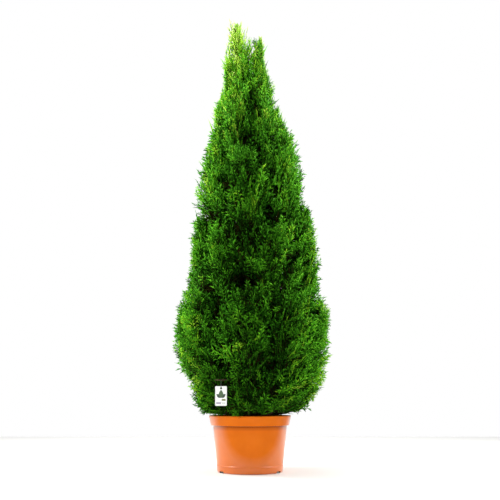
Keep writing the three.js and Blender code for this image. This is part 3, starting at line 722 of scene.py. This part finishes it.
def make_compost():
    """The compost, which fills the pot, with a domed and lumpy top."""
    hub_top = POT["wall"] + CLEARANCE
    floor_top = POT["floor_lift"] + hub_top
    step = COLLAR_FOOT + POT["wall"] + CLEARANCE
    collar = COLLAR - POT["wall"] - 0.5
    profile = [(0, hub_top), (POT["hub_radius"] - 3.6, hub_top), (POT["hub_radius"] - CLEARANCE, floor_top)]
    profile += [(inner_wall(floor_top) - 0.5, floor_top), (inner_wall(COLLAR_FOOT) - 0.5, step)]
    profile += [(collar, step), (collar, SOIL_TOP - 2)]
    profile += [(r, SOIL_TOP + SOIL_DOME - 6 * (r / 140) ** 1.5) for r in range(136, 3, -4)]
    profile += [(0, SOIL_TOP + SOIL_DOME)]
    bm = bmesh.new()
    spin_profile(bm, [(r * MM, z * MM) for r, z in profile], 140)
    for v in bm.verts:
        r = math.hypot(v.co.x, v.co.y)
        if v.co.z > (SOIL_TOP - 3) * MM and 0.028 < r < 0.134:
            lump = noise.noise(v.co * 60) * 0.0016 + noise.noise(v.co * 190) * 0.0014
            v.co.z += lump - 0.001
    finish_piece("compost_top", bm, [SOIL], ["compost"])


TIE = {"gauge": 1, "radius": 6}
LABEL_TOP = LABEL["z"] + LABEL["height"] / 2
LABEL_FRONT = LABEL["y"] - LABEL["thickness"] / 2
INK = 0.12  # how far the print stands out of the card
INK_ROOT = 0.02  # how far it reaches in


def rounded(width, height, corner, steps=6):
    points = []
    for cx, cz, start in ((1, 1, 0), (-1, 1, 90), (-1, -1, 180), (1, -1, 270)):
        for k in range(steps + 1):
            a = math.radians(start + 90 * k / steps)
            x, z = cx * (width / 2 - corner), cz * (height / 2 - corner)
            points.append((x + corner * math.cos(a), z + corner * math.sin(a)))
    return points


def plate(bm, outline, front, back, index=0, hole=None):
    """A flat plate that faces -Y, from an outline in x and z, between two depths."""
    loops = [outline] + ([hole] if hole else [])
    edges = []
    for loop in loops:
        verts = [bm.verts.new((x * MM, front * MM, z * MM)) for x, z in loop]
        edges += [bm.edges.new((verts[i], verts[(i + 1) % len(verts)])) for i in range(len(verts))]
    filled = bmesh.ops.triangle_fill(bm, edges=edges, use_beauty=True, use_dissolve=False)["geom"]
    faces = [f for f in filled if isinstance(f, bmesh.types.BMFace)]
    made = bmesh.ops.extrude_face_region(bm, geom=faces, use_keep_orig=True)["geom"]
    moved = [v for v in made if isinstance(v, bmesh.types.BMVert)]
    bmesh.ops.translate(bm, verts=moved, vec=(0, (back - front) * MM, 0))
    fresh = set(faces) | {f for f in made if isinstance(f, bmesh.types.BMFace)}
    for v in moved:
        fresh.update(v.link_faces)
    for f in fresh:
        f.material_index = index


def on_label(shape, dx, dz):
    """An outline moved to its place, from the middle of the label."""
    return [(LABEL["x"] + dx + u, LABEL["z"] + dz + v) for u, v in shape]


def make_label_card():
    turns = [2 * math.pi * k / 28 for k in range(28)]
    ring = [(LABEL["hole"] * math.cos(a), LABEL["hole"] * math.sin(a)) for a in turns]
    hole = on_label(ring, 0, LABEL["height"] / 2 - LABEL["hole_drop"])
    outline = on_label(rounded(LABEL["width"], LABEL["height"], LABEL["corner"]), 0, 0)
    bm = bmesh.new()
    plate(bm, outline, LABEL_FRONT, LABEL_FRONT + LABEL["thickness"], 0, hole)
    white = card_material("label_white", (0.94, 0.96, 0.93))
    finish_piece("label_sheet", bm, [white], ["label_card"], False)


def make_label_print():
    """A plain design: a fan of three leaves, two patches and two rules."""
    front, back = LABEL_FRONT - INK, LABEL_FRONT + INK_ROOT
    bm = bmesh.new()
    for lean, size, depth, index in ((0.9, 20, 0.12, 0), (-0.9, 20, 0.12, 0), (0, 27, 0.2, 1)):
        side = [(0.28 * size * math.sin(math.pi * k / 8), size * (k / 8) ** 1.1) for k in range(9)]
        leaf = side + [(-u, v) for u, v in side[-2:0:-1]]
        cos, sin = math.cos(lean), math.sin(lean)
        leaning = [(u * cos - v * sin, u * sin + v * cos) for u, v in leaf]
        plate(bm, on_label(leaning, 0, -6), LABEL_FRONT - depth, back, index)
    rules = [(14, 1.1, 0.5, 9, -22.4, 4), (11, 1.1, 0.5, 9, -25.6, 4)]
    for width, height, corner, dx, dz, index in [(13, 6, 1, 9, -13, 2), (16, 7, 1, -8, -24, 3), *rules]:
        plate(bm, on_label(rounded(width, height, corner), dx, dz), front, back, index)
    inks = [
        card_material("label_leaf_dark", (0.012, 0.045, 0.014)),
        card_material("label_leaf", (0.035, 0.10, 0.016)),
        card_material("label_olive", (0.20, 0.20, 0.035)),
        card_material("label_lilac", (0.42, 0.38, 0.50)),
        card_material("label_rule", (0.40, 0.42, 0.40)),
    ]
    finish_piece("label_print", bm, inks, [], False)


def make_label_tie():
    """A loop of cord, through the card's hole at its foot and over the label's twig at its top."""
    foot = (LABEL_TOP - LABEL["hole_drop"] + LABEL["hole"] - CLEARANCE - 1.5 * TIE["gauge"]) * MM
    head = (LABEL_TWIG["z"] + LABEL_TWIG["radius"] + CLEARANCE + TIE["gauge"]) * MM
    radius = TIE["radius"] * MM
    centre = Vector((LABEL["x"] * MM, LABEL["y"] * MM, foot + radius))
    bm = bmesh.new()
    oval = Matrix.Diagonal((1.15 * TIE["gauge"] * MM, 0.8 * TIE["gauge"] * MM, 1, 1))
    place = Matrix.Translation(centre + Vector((0, radius, 0)))
    ring = bmesh.ops.create_circle(bm, segments=10, radius=1, matrix=place @ oval)["verts"]
    edges = {edge for vert in ring for edge in vert.link_edges}
    bmesh.ops.spin(
        bm, geom=ring + list(edges), cent=centre, axis=(1, 0, 0), angle=2 * math.pi, steps=32, use_merge=True
    )
    for vert in bm.verts:
        if vert.co.z > centre.z + 0.02 * radius:
            vert.co.z += head - foot - 2 * radius
    green = card_material("tie_green", (0.012, 0.024, 0.011), 0.3)
    finish_piece("label_cord", bm, [green], ["label_tie"])


# ---- Wood ---------------------------------------------------------------------------------------


def bough_points(plume, pieces=14):
    """The curve of a bough, from the trunk to the foot of its plume's stem."""
    to = plume["at"](0.0)
    ahead = plume["at"](0.05) - to
    ahead = ahead / np.linalg.norm(ahead)
    start = on_line(TRUNK_LINE, to[2] - (plume["rise"] - BOUGH["stagger"] * (plume["number"] % 2)) * MM)
    bend = to - ahead * plume["bend"] * MM
    t = np.linspace(0, 1, pieces + 1)[:, None]
    return (1 - t) ** 2 * start + 2 * t * (1 - t) * bend + t**2 * to


def label_twig(bm):
    """The twig that the label hangs on: out of its plume, then level along the front of it."""
    start = PLUMES[0]["at"](LABEL_TWIG["share"])
    across = np.array([LABEL_TWIG["reach"], 0, 0]) * MM
    middle = np.array([LABEL["x"], LABEL["y"], LABEL_TWIG["z"]]) * MM
    inner = start + (middle + across - start) * np.linspace(0, 0.94, 9)[:, None]
    level = middle + across * np.linspace(0.88, -1, 7)[:, None]
    radius = LABEL_TWIG["radius"] * MM
    limb_mesh(bm, np.concatenate([inner, level]), np.linspace(1.15, 0.9, 16) * radius, 8, 0.05, 90)


def make_wood():
    """The trunk, the side leader, the boughs and the plumes' stems, in bark with relief."""
    bm = bmesh.new()
    z = np.concatenate([np.linspace(TRUNK["foot"], 260, 24), np.linspace(264, TRUNK["top"], 150)]) * MM
    limb_mesh(bm, on_line(TRUNK_LINE, z), trunk_radius(z), 28, 0.13)
    fork = side_leader_points()
    z = np.linspace(fork[0, 2], fork[-1, 2], 40)
    radii = np.linspace(SIDE_LEADER["foot_radius"], SIDE_LEADER["tip_radius"], 40) * MM
    limb_mesh(bm, on_line(fork, z), radii, 14, 0.1, 3)
    nodes = ["trunk", "side_leader"]
    for n, plume in enumerate(PLUMES):
        if plume.get("bough"):
            points = bough_points(plume)
            radii = np.linspace(plume["bough"], BOUGH["tip_radius"], len(points)) * MM
            limb_mesh(bm, points, radii, 12, 0.12, n)
            nodes.append(plume["node"].replace("foliage", "bough"))
            start, thick = points[-1:], BOUGH["tip_radius"]
        elif plume.get("is_top"):
            start, thick = plume["line"][:1], TRUNK["tip_radius"]
        else:
            start = on_line(TRUNK_LINE, plume["at"](0.0)[2] - plume["rise"] * MM)[None]
            thick = STEM["foot_radius"]
        stem = np.concatenate([start, plume["at"](np.linspace(0.03, 0.94, 16))])
        limb_mesh(bm, stem, np.linspace(thick, STEM["tip_radius"], len(stem)) * MM, 8, 0.08, n + 50)
    label_twig(bm)
    finish_piece("bark_wood", bm, [BARK], nodes)


# ---- Foliage ------------------------------------------------------------------------------------


def spindle(p, q, wide, thick, bow=0.0):
    """A closed four-faced blade from p to q, wide in the middle and bowed to one side."""
    p, q = np.array([*p, 0.0]), np.array([*q, 0.0])
    along = q - p
    side = np.array([-along[1], along[0], 0]) / np.linalg.norm(along)
    mid = p + 0.55 * along + side * bow * np.linalg.norm(along) + np.array([0, 0, thick])
    verts = [p, q, mid + side * wide, mid - side * wide]
    faces = [(0, 3, 2), (1, 2, 3), (0, 2, 1), (0, 1, 3)]
    return verts, faces


def frond_template(seed, side_count, tips, wide):
    """A flat fan of scale-leaved branchlets of unit length along Y, with a tone step for each."""
    rng = np.random.RandomState(seed)
    verts, faces, tones = [], [], []

    def add(p, q, half, tone, bow=0.0):
        v, f = spindle(p, q, half, 0.7 * half, bow)
        faces.extend([tuple(i + len(verts) for i in face) for face in f])
        verts.extend(v)
        tones.extend([tone] * len(f))

    add((0, -0.05), (0.02 * rng.randn(), 1.0), 0.8 * wide, 0.0, 0.03 * rng.randn())
    for k in range(side_count):
        hand = 1 if k % 2 else -1
        y = 0.08 + 0.76 * (k + 0.4 * rng.rand()) / side_count
        length = (0.56 - 0.34 * y) * rng.uniform(0.8, 1.15) * (0.8 + 0.2 * min(y / 0.25, 1))
        angle = math.radians(48 - 20 * y + rng.uniform(-7, 7))
        p = np.array([0.0, y])
        q = p + length * np.array([hand * math.sin(angle), math.cos(angle)])
        add(p, q, wide, 0.35 + 0.6 * y, hand * 0.09)
        for share, turn in ((0.38, -0.62), (0.6, 0.6), (0.8, -0.5))[: tips if y < 0.62 else tips - 1]:
            at = p + (q - p) * share
            heading = (angle + turn) * hand
            step = length * rng.uniform(0.38, 0.5) * np.array([math.sin(heading), math.cos(heading)])
            add(at, at + step, 0.85 * wide, 1.25, 0.06 * hand)
    return np.array(verts), np.array(faces), np.array(tones)


UP = np.array([0, 0, 1.0])
SKIN_TRIES = 900
THATCH_TRIES = 1200
THATCH_FRONDS = 56
SPRAY_TWIG = 0.0016  # thickness of a spray's twig at its foot
SIDE_TWIG = 0.0013  # and of the twig of a single frond
TWIG_CORNERS = (0, 2.094, 4.189)  # turns in radians
OUTER = [frond_template(11 + k, 7, 2, 0.027) for k in range(6)]
SKIN = [frond_template(51 + k, 6, 1, 0.03) for k in range(4)]
INNER = [frond_template(31 + k, 5, 0, 0.055) for k in range(3)]


def unit(v):
    return v / np.maximum(np.linalg.norm(v, axis=-1, keepdims=True), 1e-9)


def turned(rng, n, spread):
    return rng.uniform(-spread, spread, n)[:, None]


def level_ways(turn):
    return np.stack([np.cos(turn), np.sin(turn), 0 * turn], -1)


def pick(fronds, rows):
    return {key: value[rows] for key, value in fronds.items()}


def tips_of(fronds, share=1.0):
    return fronds["base"] + share * fronds["head"] * fronds["size"][:, None]


def borne(fits, roots, base, head, wing, face, size):
    """The fronds that fit, and a twig to each from its root."""
    fronds = {"base": base, "head": head, "wing": wing, "face": face, "size": size}
    return pick(fronds, fits), [(a, b, SIDE_TWIG) for a, b in zip(roots[fits], base[fits])]


def fitted(base, head, across, length, plume, gap, tapered=True):
    """Shortens fronds until their tips keep to the plume's space, and drops those that never do."""
    fits = np.zeros(len(base), bool)
    size = length.copy()
    for shrink in (1.0, 0.85, 0.7, 0.56):
        good = ~fits
        for u, v in ((0, 1.0), (0.36, 0.6), (-0.36, 0.6)):
            points = base + (length * shrink)[:, None] * (head * v + across * u)
            good &= keeps_to_space(points, plume, gap, tapered)
        size = np.where(good, length * shrink, size)
        fits |= good
    return fits, size


def grow_sprays(plume, rng):
    """Twigs from a plume's stem to its skin, each with a flat spray of fronds on its outer part."""
    count = plume["twigs"]
    k = np.arange(1, 4 * count)
    turn = (k * TWIG_TURN) % 1 * 2 * math.pi
    share = 0.02 + 0.95 * ((k * TWIG_STEP) % 1) ** plume.get("footward", 1.0)
    level = level_ways(turn)
    if not plume.get("is_top"):
        keep = level @ plume["out"] > -0.35
        share, level = share[keep], level[keep]
    share, level = share[:count], level[:count]
    n = len(share)
    slope = np.radians(plume["low"] + (plume["high"] - plume["low"]) * share**LIFT)[:, None]
    slope = slope + turned(rng, n, 0.24)
    way = level * np.cos(slope) + UP * np.sin(slope)
    root = plume["at"](share)
    reach = np.full(n, 0.004)
    is_open = np.ones(n, bool)
    for step in np.arange(0.008, plume["girth"] * MM * 1.5, 0.005):
        is_open &= keeps_to_space(root + way * step, plume, 0.002)
        reach = np.where(is_open, step, reach)
    side = np.cross(UP, level)
    tilt = turned(rng, n, 1.5)
    normal = side * np.cos(tilt) + np.cross(side, way) * np.sin(tilt)
    across = np.cross(way, normal)
    mood = rng.normal(0, 0.6, n)
    full = rng.uniform(0.064, 0.098, n) * (0.7 + 0.3 * min(plume["girth"] / 100, 1))
    parts = []
    for j in range(plume["pairs"] * 2 + 1):
        hand = 0 if j == 0 else (1 if j % 2 else -1)
        back = full * (0.8 + 0.34 * j) * rng.uniform(0.9, 1.1, n)
        at = np.maximum(reach - back, 0.12 * reach)
        rows = (at > 0.12 * reach + 0.001) | (j < 3)
        angle = hand * plume["spread"] * (1 + turned(rng, n, 0.28))
        head = way * np.cos(angle) + across * np.sin(angle) + normal * turned(rng, n, 0.3)
        head = unit(head + UP * (1.08 - plume["narrow"]))
        face = unit(normal + across * turned(rng, n, 0.35) + way * turned(rng, n, 0.2))
        wing = unit(np.cross(head, face))
        base = root + way * at[:, None]
        length = full * (1 if j == 0 else 0.98 - 0.03 * j)
        fits, size = fitted(base, head, wing * plume["narrow"], length, plume, -0.006)
        rows &= fits
        parts.append([v[rows] for v in (base, head, wing, np.cross(wing, head), size, mood, at / 0.11)])
    base, head, wing, face, size, mood, out = (np.concatenate(c) for c in zip(*parts))
    starts = plume["at"](np.maximum(share - 0.1, 0))
    twigs = [(a, b, SPRAY_TWIG) for a, b in zip(starts, root + way * (reach * 0.72)[:, None])]
    fronds = {"base": base, "head": head, "wing": wing, "face": face, "size": size, "mood": mood, "out": out}
    return fronds, twigs


def grow_near(plume, rng, count, low, high, margin, lift):
    """Fronds on short twigs of their own from the nearest limb, between two heights."""
    line = np.concatenate([plume["line"], on_line(TRUNK_LINE, np.linspace(low, high, 12))])
    if plume.get("bough"):
        line = np.concatenate([bough_points(plume), line])
    foot, top = plume["line"].min(0) - 0.07, plume["line"].max(0) + 0.07
    foot[2], top[2] = low, high
    points = rng.uniform(foot, top, (count * 9, 3))
    near = outline_room(points) > margin
    points = points[near & keeps_to_space(points, plume)][:count]
    nearest = line[np.linalg.norm(points[:, None] - line, axis=2).argmin(1)]
    n = len(points)
    head = unit(unit(points - nearest) * 0.6 + np.array([0, 0, lift]) + rng.normal(0, 0.35, (n, 3)))
    face = unit(np.cross(head, rng.normal(0, 1, (n, 3))))
    wing = np.cross(head, face)
    fits, size = fitted(points, head, wing, rng.uniform(0.075, 0.11, n), plume, -0.012)
    return borne(fits, nearest, points, head, wing, face, size)


def frond_tone(fronds, plume, mood, out):
    """The step of green of each frond: paler outwards, and upwards partly for young growth and partly as
    painted light;
    painted light on the flanks, on a plume's ridge and on the side leader; painted shade by height and in the
    cleft.
    """
    ends = tips_of(fronds)
    x, z = ends[:, 0], ends[:, 2]
    # Painted shade between plumes: fronds near the border with a neighbouring plume are darker, those on a
    # plume's ridge paler.
    _, least = inside_space(ends, plume)
    ridge = np.clip(least / 0.045, 0, 1)
    # Paler upwards, partly for the young growth at the top and partly as painted light from above.
    height = np.clip((z - 0.2) / 1.57, 0, 1)
    tone = 1.2 + 2.3 * np.clip(out, 0, 1) + 3.5 * np.clip((height - 0.6) / 0.4, 0, 1)
    tone = tone + mood + 1.9 * (ridge - 0.6)
    # Painted shade: steps taken off all round, by height.
    tone = tone - np.interp(z, *PAINTED_SHADE_BY_HEIGHT)
    # Painted shade in the cleft between the two leaders.
    cleft = np.interp(z, CLEFT["z"], [0, 1, 1, 0]) * np.exp(-(((x - CLEFT["x"]) / CLEFT["half_width"]) ** 2))
    # The side leader's paler steps are painted light.
    tone = tone + plume.get("paler", 0) - CLEFT["darker"] * cleft
    if plume.get("is_top"):
        return tone
    # Painted light: fronds towards the flanks are paler, for the light falling from the sides.
    flank = np.clip(np.abs(x) / crown_radius(z), 0, 0.9)
    pale = np.where(flank > 0.45, np.interp(z, *PAINTED_FLANK_LIGHT), 2.0)
    return tone + pale * (flank - 0.45)


def spread_out(points, taken, count):
    """Picks points one by one, each as far as can be from what is there already."""
    far = np.linalg.norm(points[:, None] - taken, axis=2).min(1)
    picks = []
    for _ in range(min(count, len(points))):
        picks.append(int(far.argmax()))
        far = np.minimum(far, np.linalg.norm(points - points[picks[-1]], axis=1))
    return picks


def grow_skin(plume, rng, taken):
    """Small fronds just inside the outline, or round a leader, in the gaps between the sprays."""
    is_top = plume.get("is_top")
    line = plume["line"]
    low = max(line[0, 2] - (0 if is_top else 0.12), 0.21)
    high = line[-1, 2] + (0 if line[-1, 2] > 1.55 else 0.05)
    z = rng.uniform(low, high, SKIN_TRIES)
    way = level_ways(rng.uniform(0, 2 * math.pi, SKIN_TRIES))
    if is_top:
        ends = on_line(line, z) + rng.uniform(0.008, 0.055, SKIN_TRIES)[:, None] * way
    else:
        middle = np.stack([np.interp(z, OUTLINE[:, 0], OUTLINE[:, 1]), 0 * z, z], -1)
        radius = np.interp(z, OUTLINE[:, 0], OUTLINE[:, 2]) - rng.uniform(0.008, 0.035, SKIN_TRIES)
        ends = middle + radius[:, None] * way
    keep = keeps_to_space(ends, plume, tapered=False)
    ends, way = ends[keep], way[keep]
    picks = spread_out(ends, taken, 50 if is_top else 48)
    ends, way = ends[picks], way[picks]
    n = len(ends)
    slope = np.radians(rng.uniform(plume["low"] + 14, plume["high"] + 6, n))[:, None]
    head = unit(way * np.cos(slope) + UP * np.sin(slope) + rng.normal(0, 0.15, (n, 3)))
    points = ends - head * 0.04
    face = unit(np.cross(head, rng.normal(0, 1, (n, 3))))
    wing = np.cross(head, face)
    length = rng.uniform(0.06, 0.085, n)
    fits, size = fitted(points, head, wing * plume["narrow"], length, plume, -0.01, False)
    return borne(fits, nearest_on(line, points), points, head, wing, face, size)


def grow_spears(plume, rng):
    """Slender upright shoots along a plume's outer side and above its head."""
    count = plume["spears"] * 3
    side = np.cross(plume["out"], (0, 0, 1.0))
    share = rng.uniform(0.3, 0.98, count)
    outwards = rng.uniform(0, 0.6 * plume["girth"] * MM, count) * np.clip(1.6 - 1.3 * share, 0, 1)
    aside = rng.uniform(-0.6, 0.6, count) * plume["girth"] * MM
    if plume.get("is_top"):
        share = rng.uniform(0, 0.85, count)
        outwards = rng.uniform(-0.02, 0.035, count)
        aside = rng.uniform(-0.04, 0.055, count) * (1 - share) ** 0.5
    base = plume["at"](share) + plume["out"] * outwards[:, None] + side * aside[:, None]
    head = unit(UP + 0.12 * plume["out"] + rng.normal(0, 0.1, (count, 3)))
    face = unit(np.cross(head, rng.normal(0, 1, (count, 3))))
    size = rng.uniform(0.08, 0.14, count)
    ends = base + head * size[:, None]
    fits = (outline_room(ends) > 0.012) & keeps_to_space(base, plume)
    fits &= ends[:, 2] < plume["line"][-1, 2] + (0 if plume.get("is_top") else 0.06)
    fits &= np.cumsum(fits) <= plume["spears"]
    roots = plume["at"](np.maximum(share - 0.12, 0))
    return borne(fits, roots, base, head, np.cross(head, face), face, size)


def nearest_on(line, points):
    """The place on a line that a twig to each point leaves from, a little lower than the point."""
    low = line[:, 2][None] <= points[:, 2][:, None] - 0.02
    far = np.linalg.norm(points[:, None] - line, axis=2) + np.where(low, 0, 9)
    return line[far.argmin(1)]


def grow_thatch(plume, rng, taken):
    """Old dark fronds close round the trunk, inside a plume's space."""
    low, high = max(plume["line"][0, 2] - 0.16, 0.212), min(plume["line"][-1, 2] + 0.05, 1.54)
    z = rng.uniform(low, high, THATCH_TRIES)
    way = level_ways(rng.uniform(0, 2 * math.pi, THATCH_TRIES))
    far = rng.uniform(0.15, 0.74, THATCH_TRIES) * crown_radius(z)
    points = on_line(TRUNK_LINE, z) + far[:, None] * way
    points = points[keeps_to_space(points, plume, tapered=False)]
    points = points[spread_out(points, taken, THATCH_FRONDS)]
    n = len(points)
    nearest = on_line(TRUNK_LINE, points[:, 2] - 0.03)
    head = unit(unit(points - nearest) * 0.5 + 0.6 * UP + rng.normal(0, 0.5, (n, 3)))
    face = unit(points - nearest + rng.normal(0, 0.03, (n, 3)))
    wing = unit(np.cross(head, face))
    fits, size = fitted(points, head, wing, rng.uniform(0.08, 0.115, n), plume, -0.03, False)
    return borne(fits, nearest, points, head, wing, np.cross(wing, head), size)


def frond_arrays(fronds, tone, templates, rng, narrow=1.0):
    """Vertices, triangles and the step of green of each triangle, for a set of fronds."""
    verts, faces, indices = [np.zeros((0, 3))], [np.zeros((0, 3), int)], [np.zeros(0, int)]
    offset = 0
    which = rng.randint(0, len(templates), len(tone))
    for t, (shape, tris, steps) in enumerate(templates):
        rows = np.where(which == t)[0]
        n = len(rows)
        if n == 0:
            continue
        bend = rng.uniform(-0.08, 0.3, n)[:, None]
        cup = rng.uniform(-0.5, 0.7, n)[:, None]
        x, y, z = (shape[:, axis][None] for axis in range(3))
        x = x * rng.uniform(0.8, 1.15, n)[:, None] * narrow
        lift = z + bend * y**2 + cup * x**2
        y = np.broadcast_to(y, x.shape)
        parts = ((x, "wing"), (y, "head"), (lift, "face"))
        shaped = sum(part[..., None] * fronds[key][rows][:, None] for part, key in parts)
        points = fronds["base"][rows][:, None] + fronds["size"][rows][:, None, None] * shaped
        verts.append(points.reshape(-1, 3))
        faces.append((tris[None] + (np.arange(n) * len(shape))[:, None, None]).reshape(-1, 3) + offset)
        step = tone[rows][:, None] + steps[None] + rng.normal(0, 0.25, (n, len(steps) // 4)).repeat(4, 1)
        indices.append(np.clip(np.round(step), 0, len(GREENS) - 1).astype(int).ravel())
        offset += n * len(shape)
    return np.concatenate(verts), np.concatenate(faces), np.concatenate(indices)


def twig_arrays(twigs):
    """Three-sided tapering twigs, each a limb in two lengths that sags a little."""
    verts, faces = [], []
    for start, end, thick in twigs:
        span = end - start
        length = np.linalg.norm(span)
        centres = (start, start + span * 0.5 - np.array([0, 0, 0.1 * length]), end)
        side = unit(np.cross(span, (0, 0.01, 1.0)))
        up = unit(np.cross(span, side))
        n = len(verts)
        for centre, radius in zip(centres, (thick, 0.75 * thick, 0.4 * thick)):
            for a in TWIG_CORNERS:
                verts.append(centre + radius * (side * math.cos(a) + up * math.sin(a)))
        for k in range(2):
            for i in range(3):
                a, b = n + 3 * k + i, n + 3 * k + (i + 1) % 3
                faces += [(a, b, b + 3), (a, b + 3, a + 3)]
        faces += [(n + 2, n + 1, n), (n + 6, n + 7, n + 8)]
    return np.array(verts), np.array(faces)


def fill_arrays(fronds, tone, near, rng):
    """Broad dark fronds for the shaded inside, and paler and finer ones near the outline."""
    # Paler near the outline, and near the top partly for young growth and partly as painted light from above.
    tone = tone + 2.4 * near + 2.8 * np.clip((fronds["base"][:, 2] - 1.3) / 0.4, 0, 1)
    fine = near > 0.2
    return [
        frond_arrays(pick(fronds, ~fine), tone[~fine], INNER, rng),
        frond_arrays(pick(fronds, fine), tone[fine], SKIN, rng),
    ]


def foliage_sets(plume, rng, sprays, taken):
    """All the fronds of one plume, as meshes, and the twigs that bear them besides the sprays' own."""
    tone = frond_tone(sprays, plume, sprays["mood"], sprays["out"])
    sets = [frond_arrays(sprays, tone + rng.normal(0, 0.5, len(tone)), OUTER, rng, plume["narrow"])]
    close = taken[np.abs(taken - plume["line"].mean(0)).max(1) < 0.4]
    skin, twigs = grow_skin(plume, rng, close)
    mood = rng.normal(0, 0.6, len(skin["size"]))
    sets.append(frond_arrays(skin, frond_tone(skin, plume, mood, 0.8), SKIN, rng, plume["narrow"]))
    spears, more = grow_spears(plume, rng)
    mood = rng.normal(0.4, 0.5, len(spears["size"]))
    sets.append(frond_arrays(spears, frond_tone(spears, plume, mood, 0.9), SKIN, rng, 0.4))
    twigs += more
    foot, tip = plume["line"][0, 2], plume["line"][-1, 2]
    low, high = max(foot - 0.14, 0.212), tip - 0.02
    inside, more = grow_near(plume, rng, plume["inner"], low, high, margin=0.045, lift=0.75)
    near = np.clip(1 - outline_room(tips_of(inside)) / 0.08, 0, 1)
    sets += fill_arrays(inside, rng.uniform(-0.3, 1.4, len(near)), near, rng)
    twigs += more
    thatch, more = grow_thatch(plume, rng, np.concatenate([inside["base"], tips_of(inside), close]))
    near = np.clip(1 - outline_room(tips_of(thatch)) / 0.05, 0, 1)
    sets += fill_arrays(thatch, rng.uniform(-0.4, 0.8, len(near)), near, rng)
    twigs += more
    if plume.get("hem"):
        hem, more = grow_near(plume, rng, plume["hem"], *HEM["heights"], margin=0.02, lift=0.0)
        sets.append(frond_arrays(hem, rng.uniform(0.6, 3.2, len(hem["size"])), SKIN, rng))
        twigs += more
    return sets, twigs


def make_foliage():
    """One mesh of fronds for each plume, and one of twigs for each tier."""
    grown = []
    for number, plume in enumerate(PLUMES):
        rng = np.random.RandomState(500 + number)
        grown.append((rng, *grow_sprays(plume, rng)))
    taken = np.concatenate([tips_of(sprays, 0.6) for _, sprays, _ in grown])
    twigs_of = {}
    for plume, (rng, sprays, twigs) in zip(PLUMES, grown):
        sets, more = foliage_sets(plume, rng, sprays, taken)
        twigs_of.setdefault(plume["name"], []).extend(twigs + more)
        starts = np.cumsum([0] + [len(verts) for verts, _, _ in sets])
        verts = np.concatenate([part[0] for part in sets])
        faces = np.concatenate([part[1] + start for part, start in zip(sets, starts)])
        name = plume["node"] + "_sprays"
        mesh = mesh_from_arrays(name, verts, faces, np.concatenate([part[2] for part in sets]))
        finish_piece(name, mesh, GREENS, [plume["node"]], False)
    for name, twigs in twigs_of.items():
        verts, faces = twig_arrays(twigs)
        mesh = mesh_from_arrays(name + "_twigs", verts, faces, np.zeros(len(faces)))
        finish_piece(name + "_twigs", mesh, [TWIG_BARK], [], False)


make_pot()
make_compost()
make_label_card()
make_label_print()
make_label_tie()
make_wood()
make_foliage()
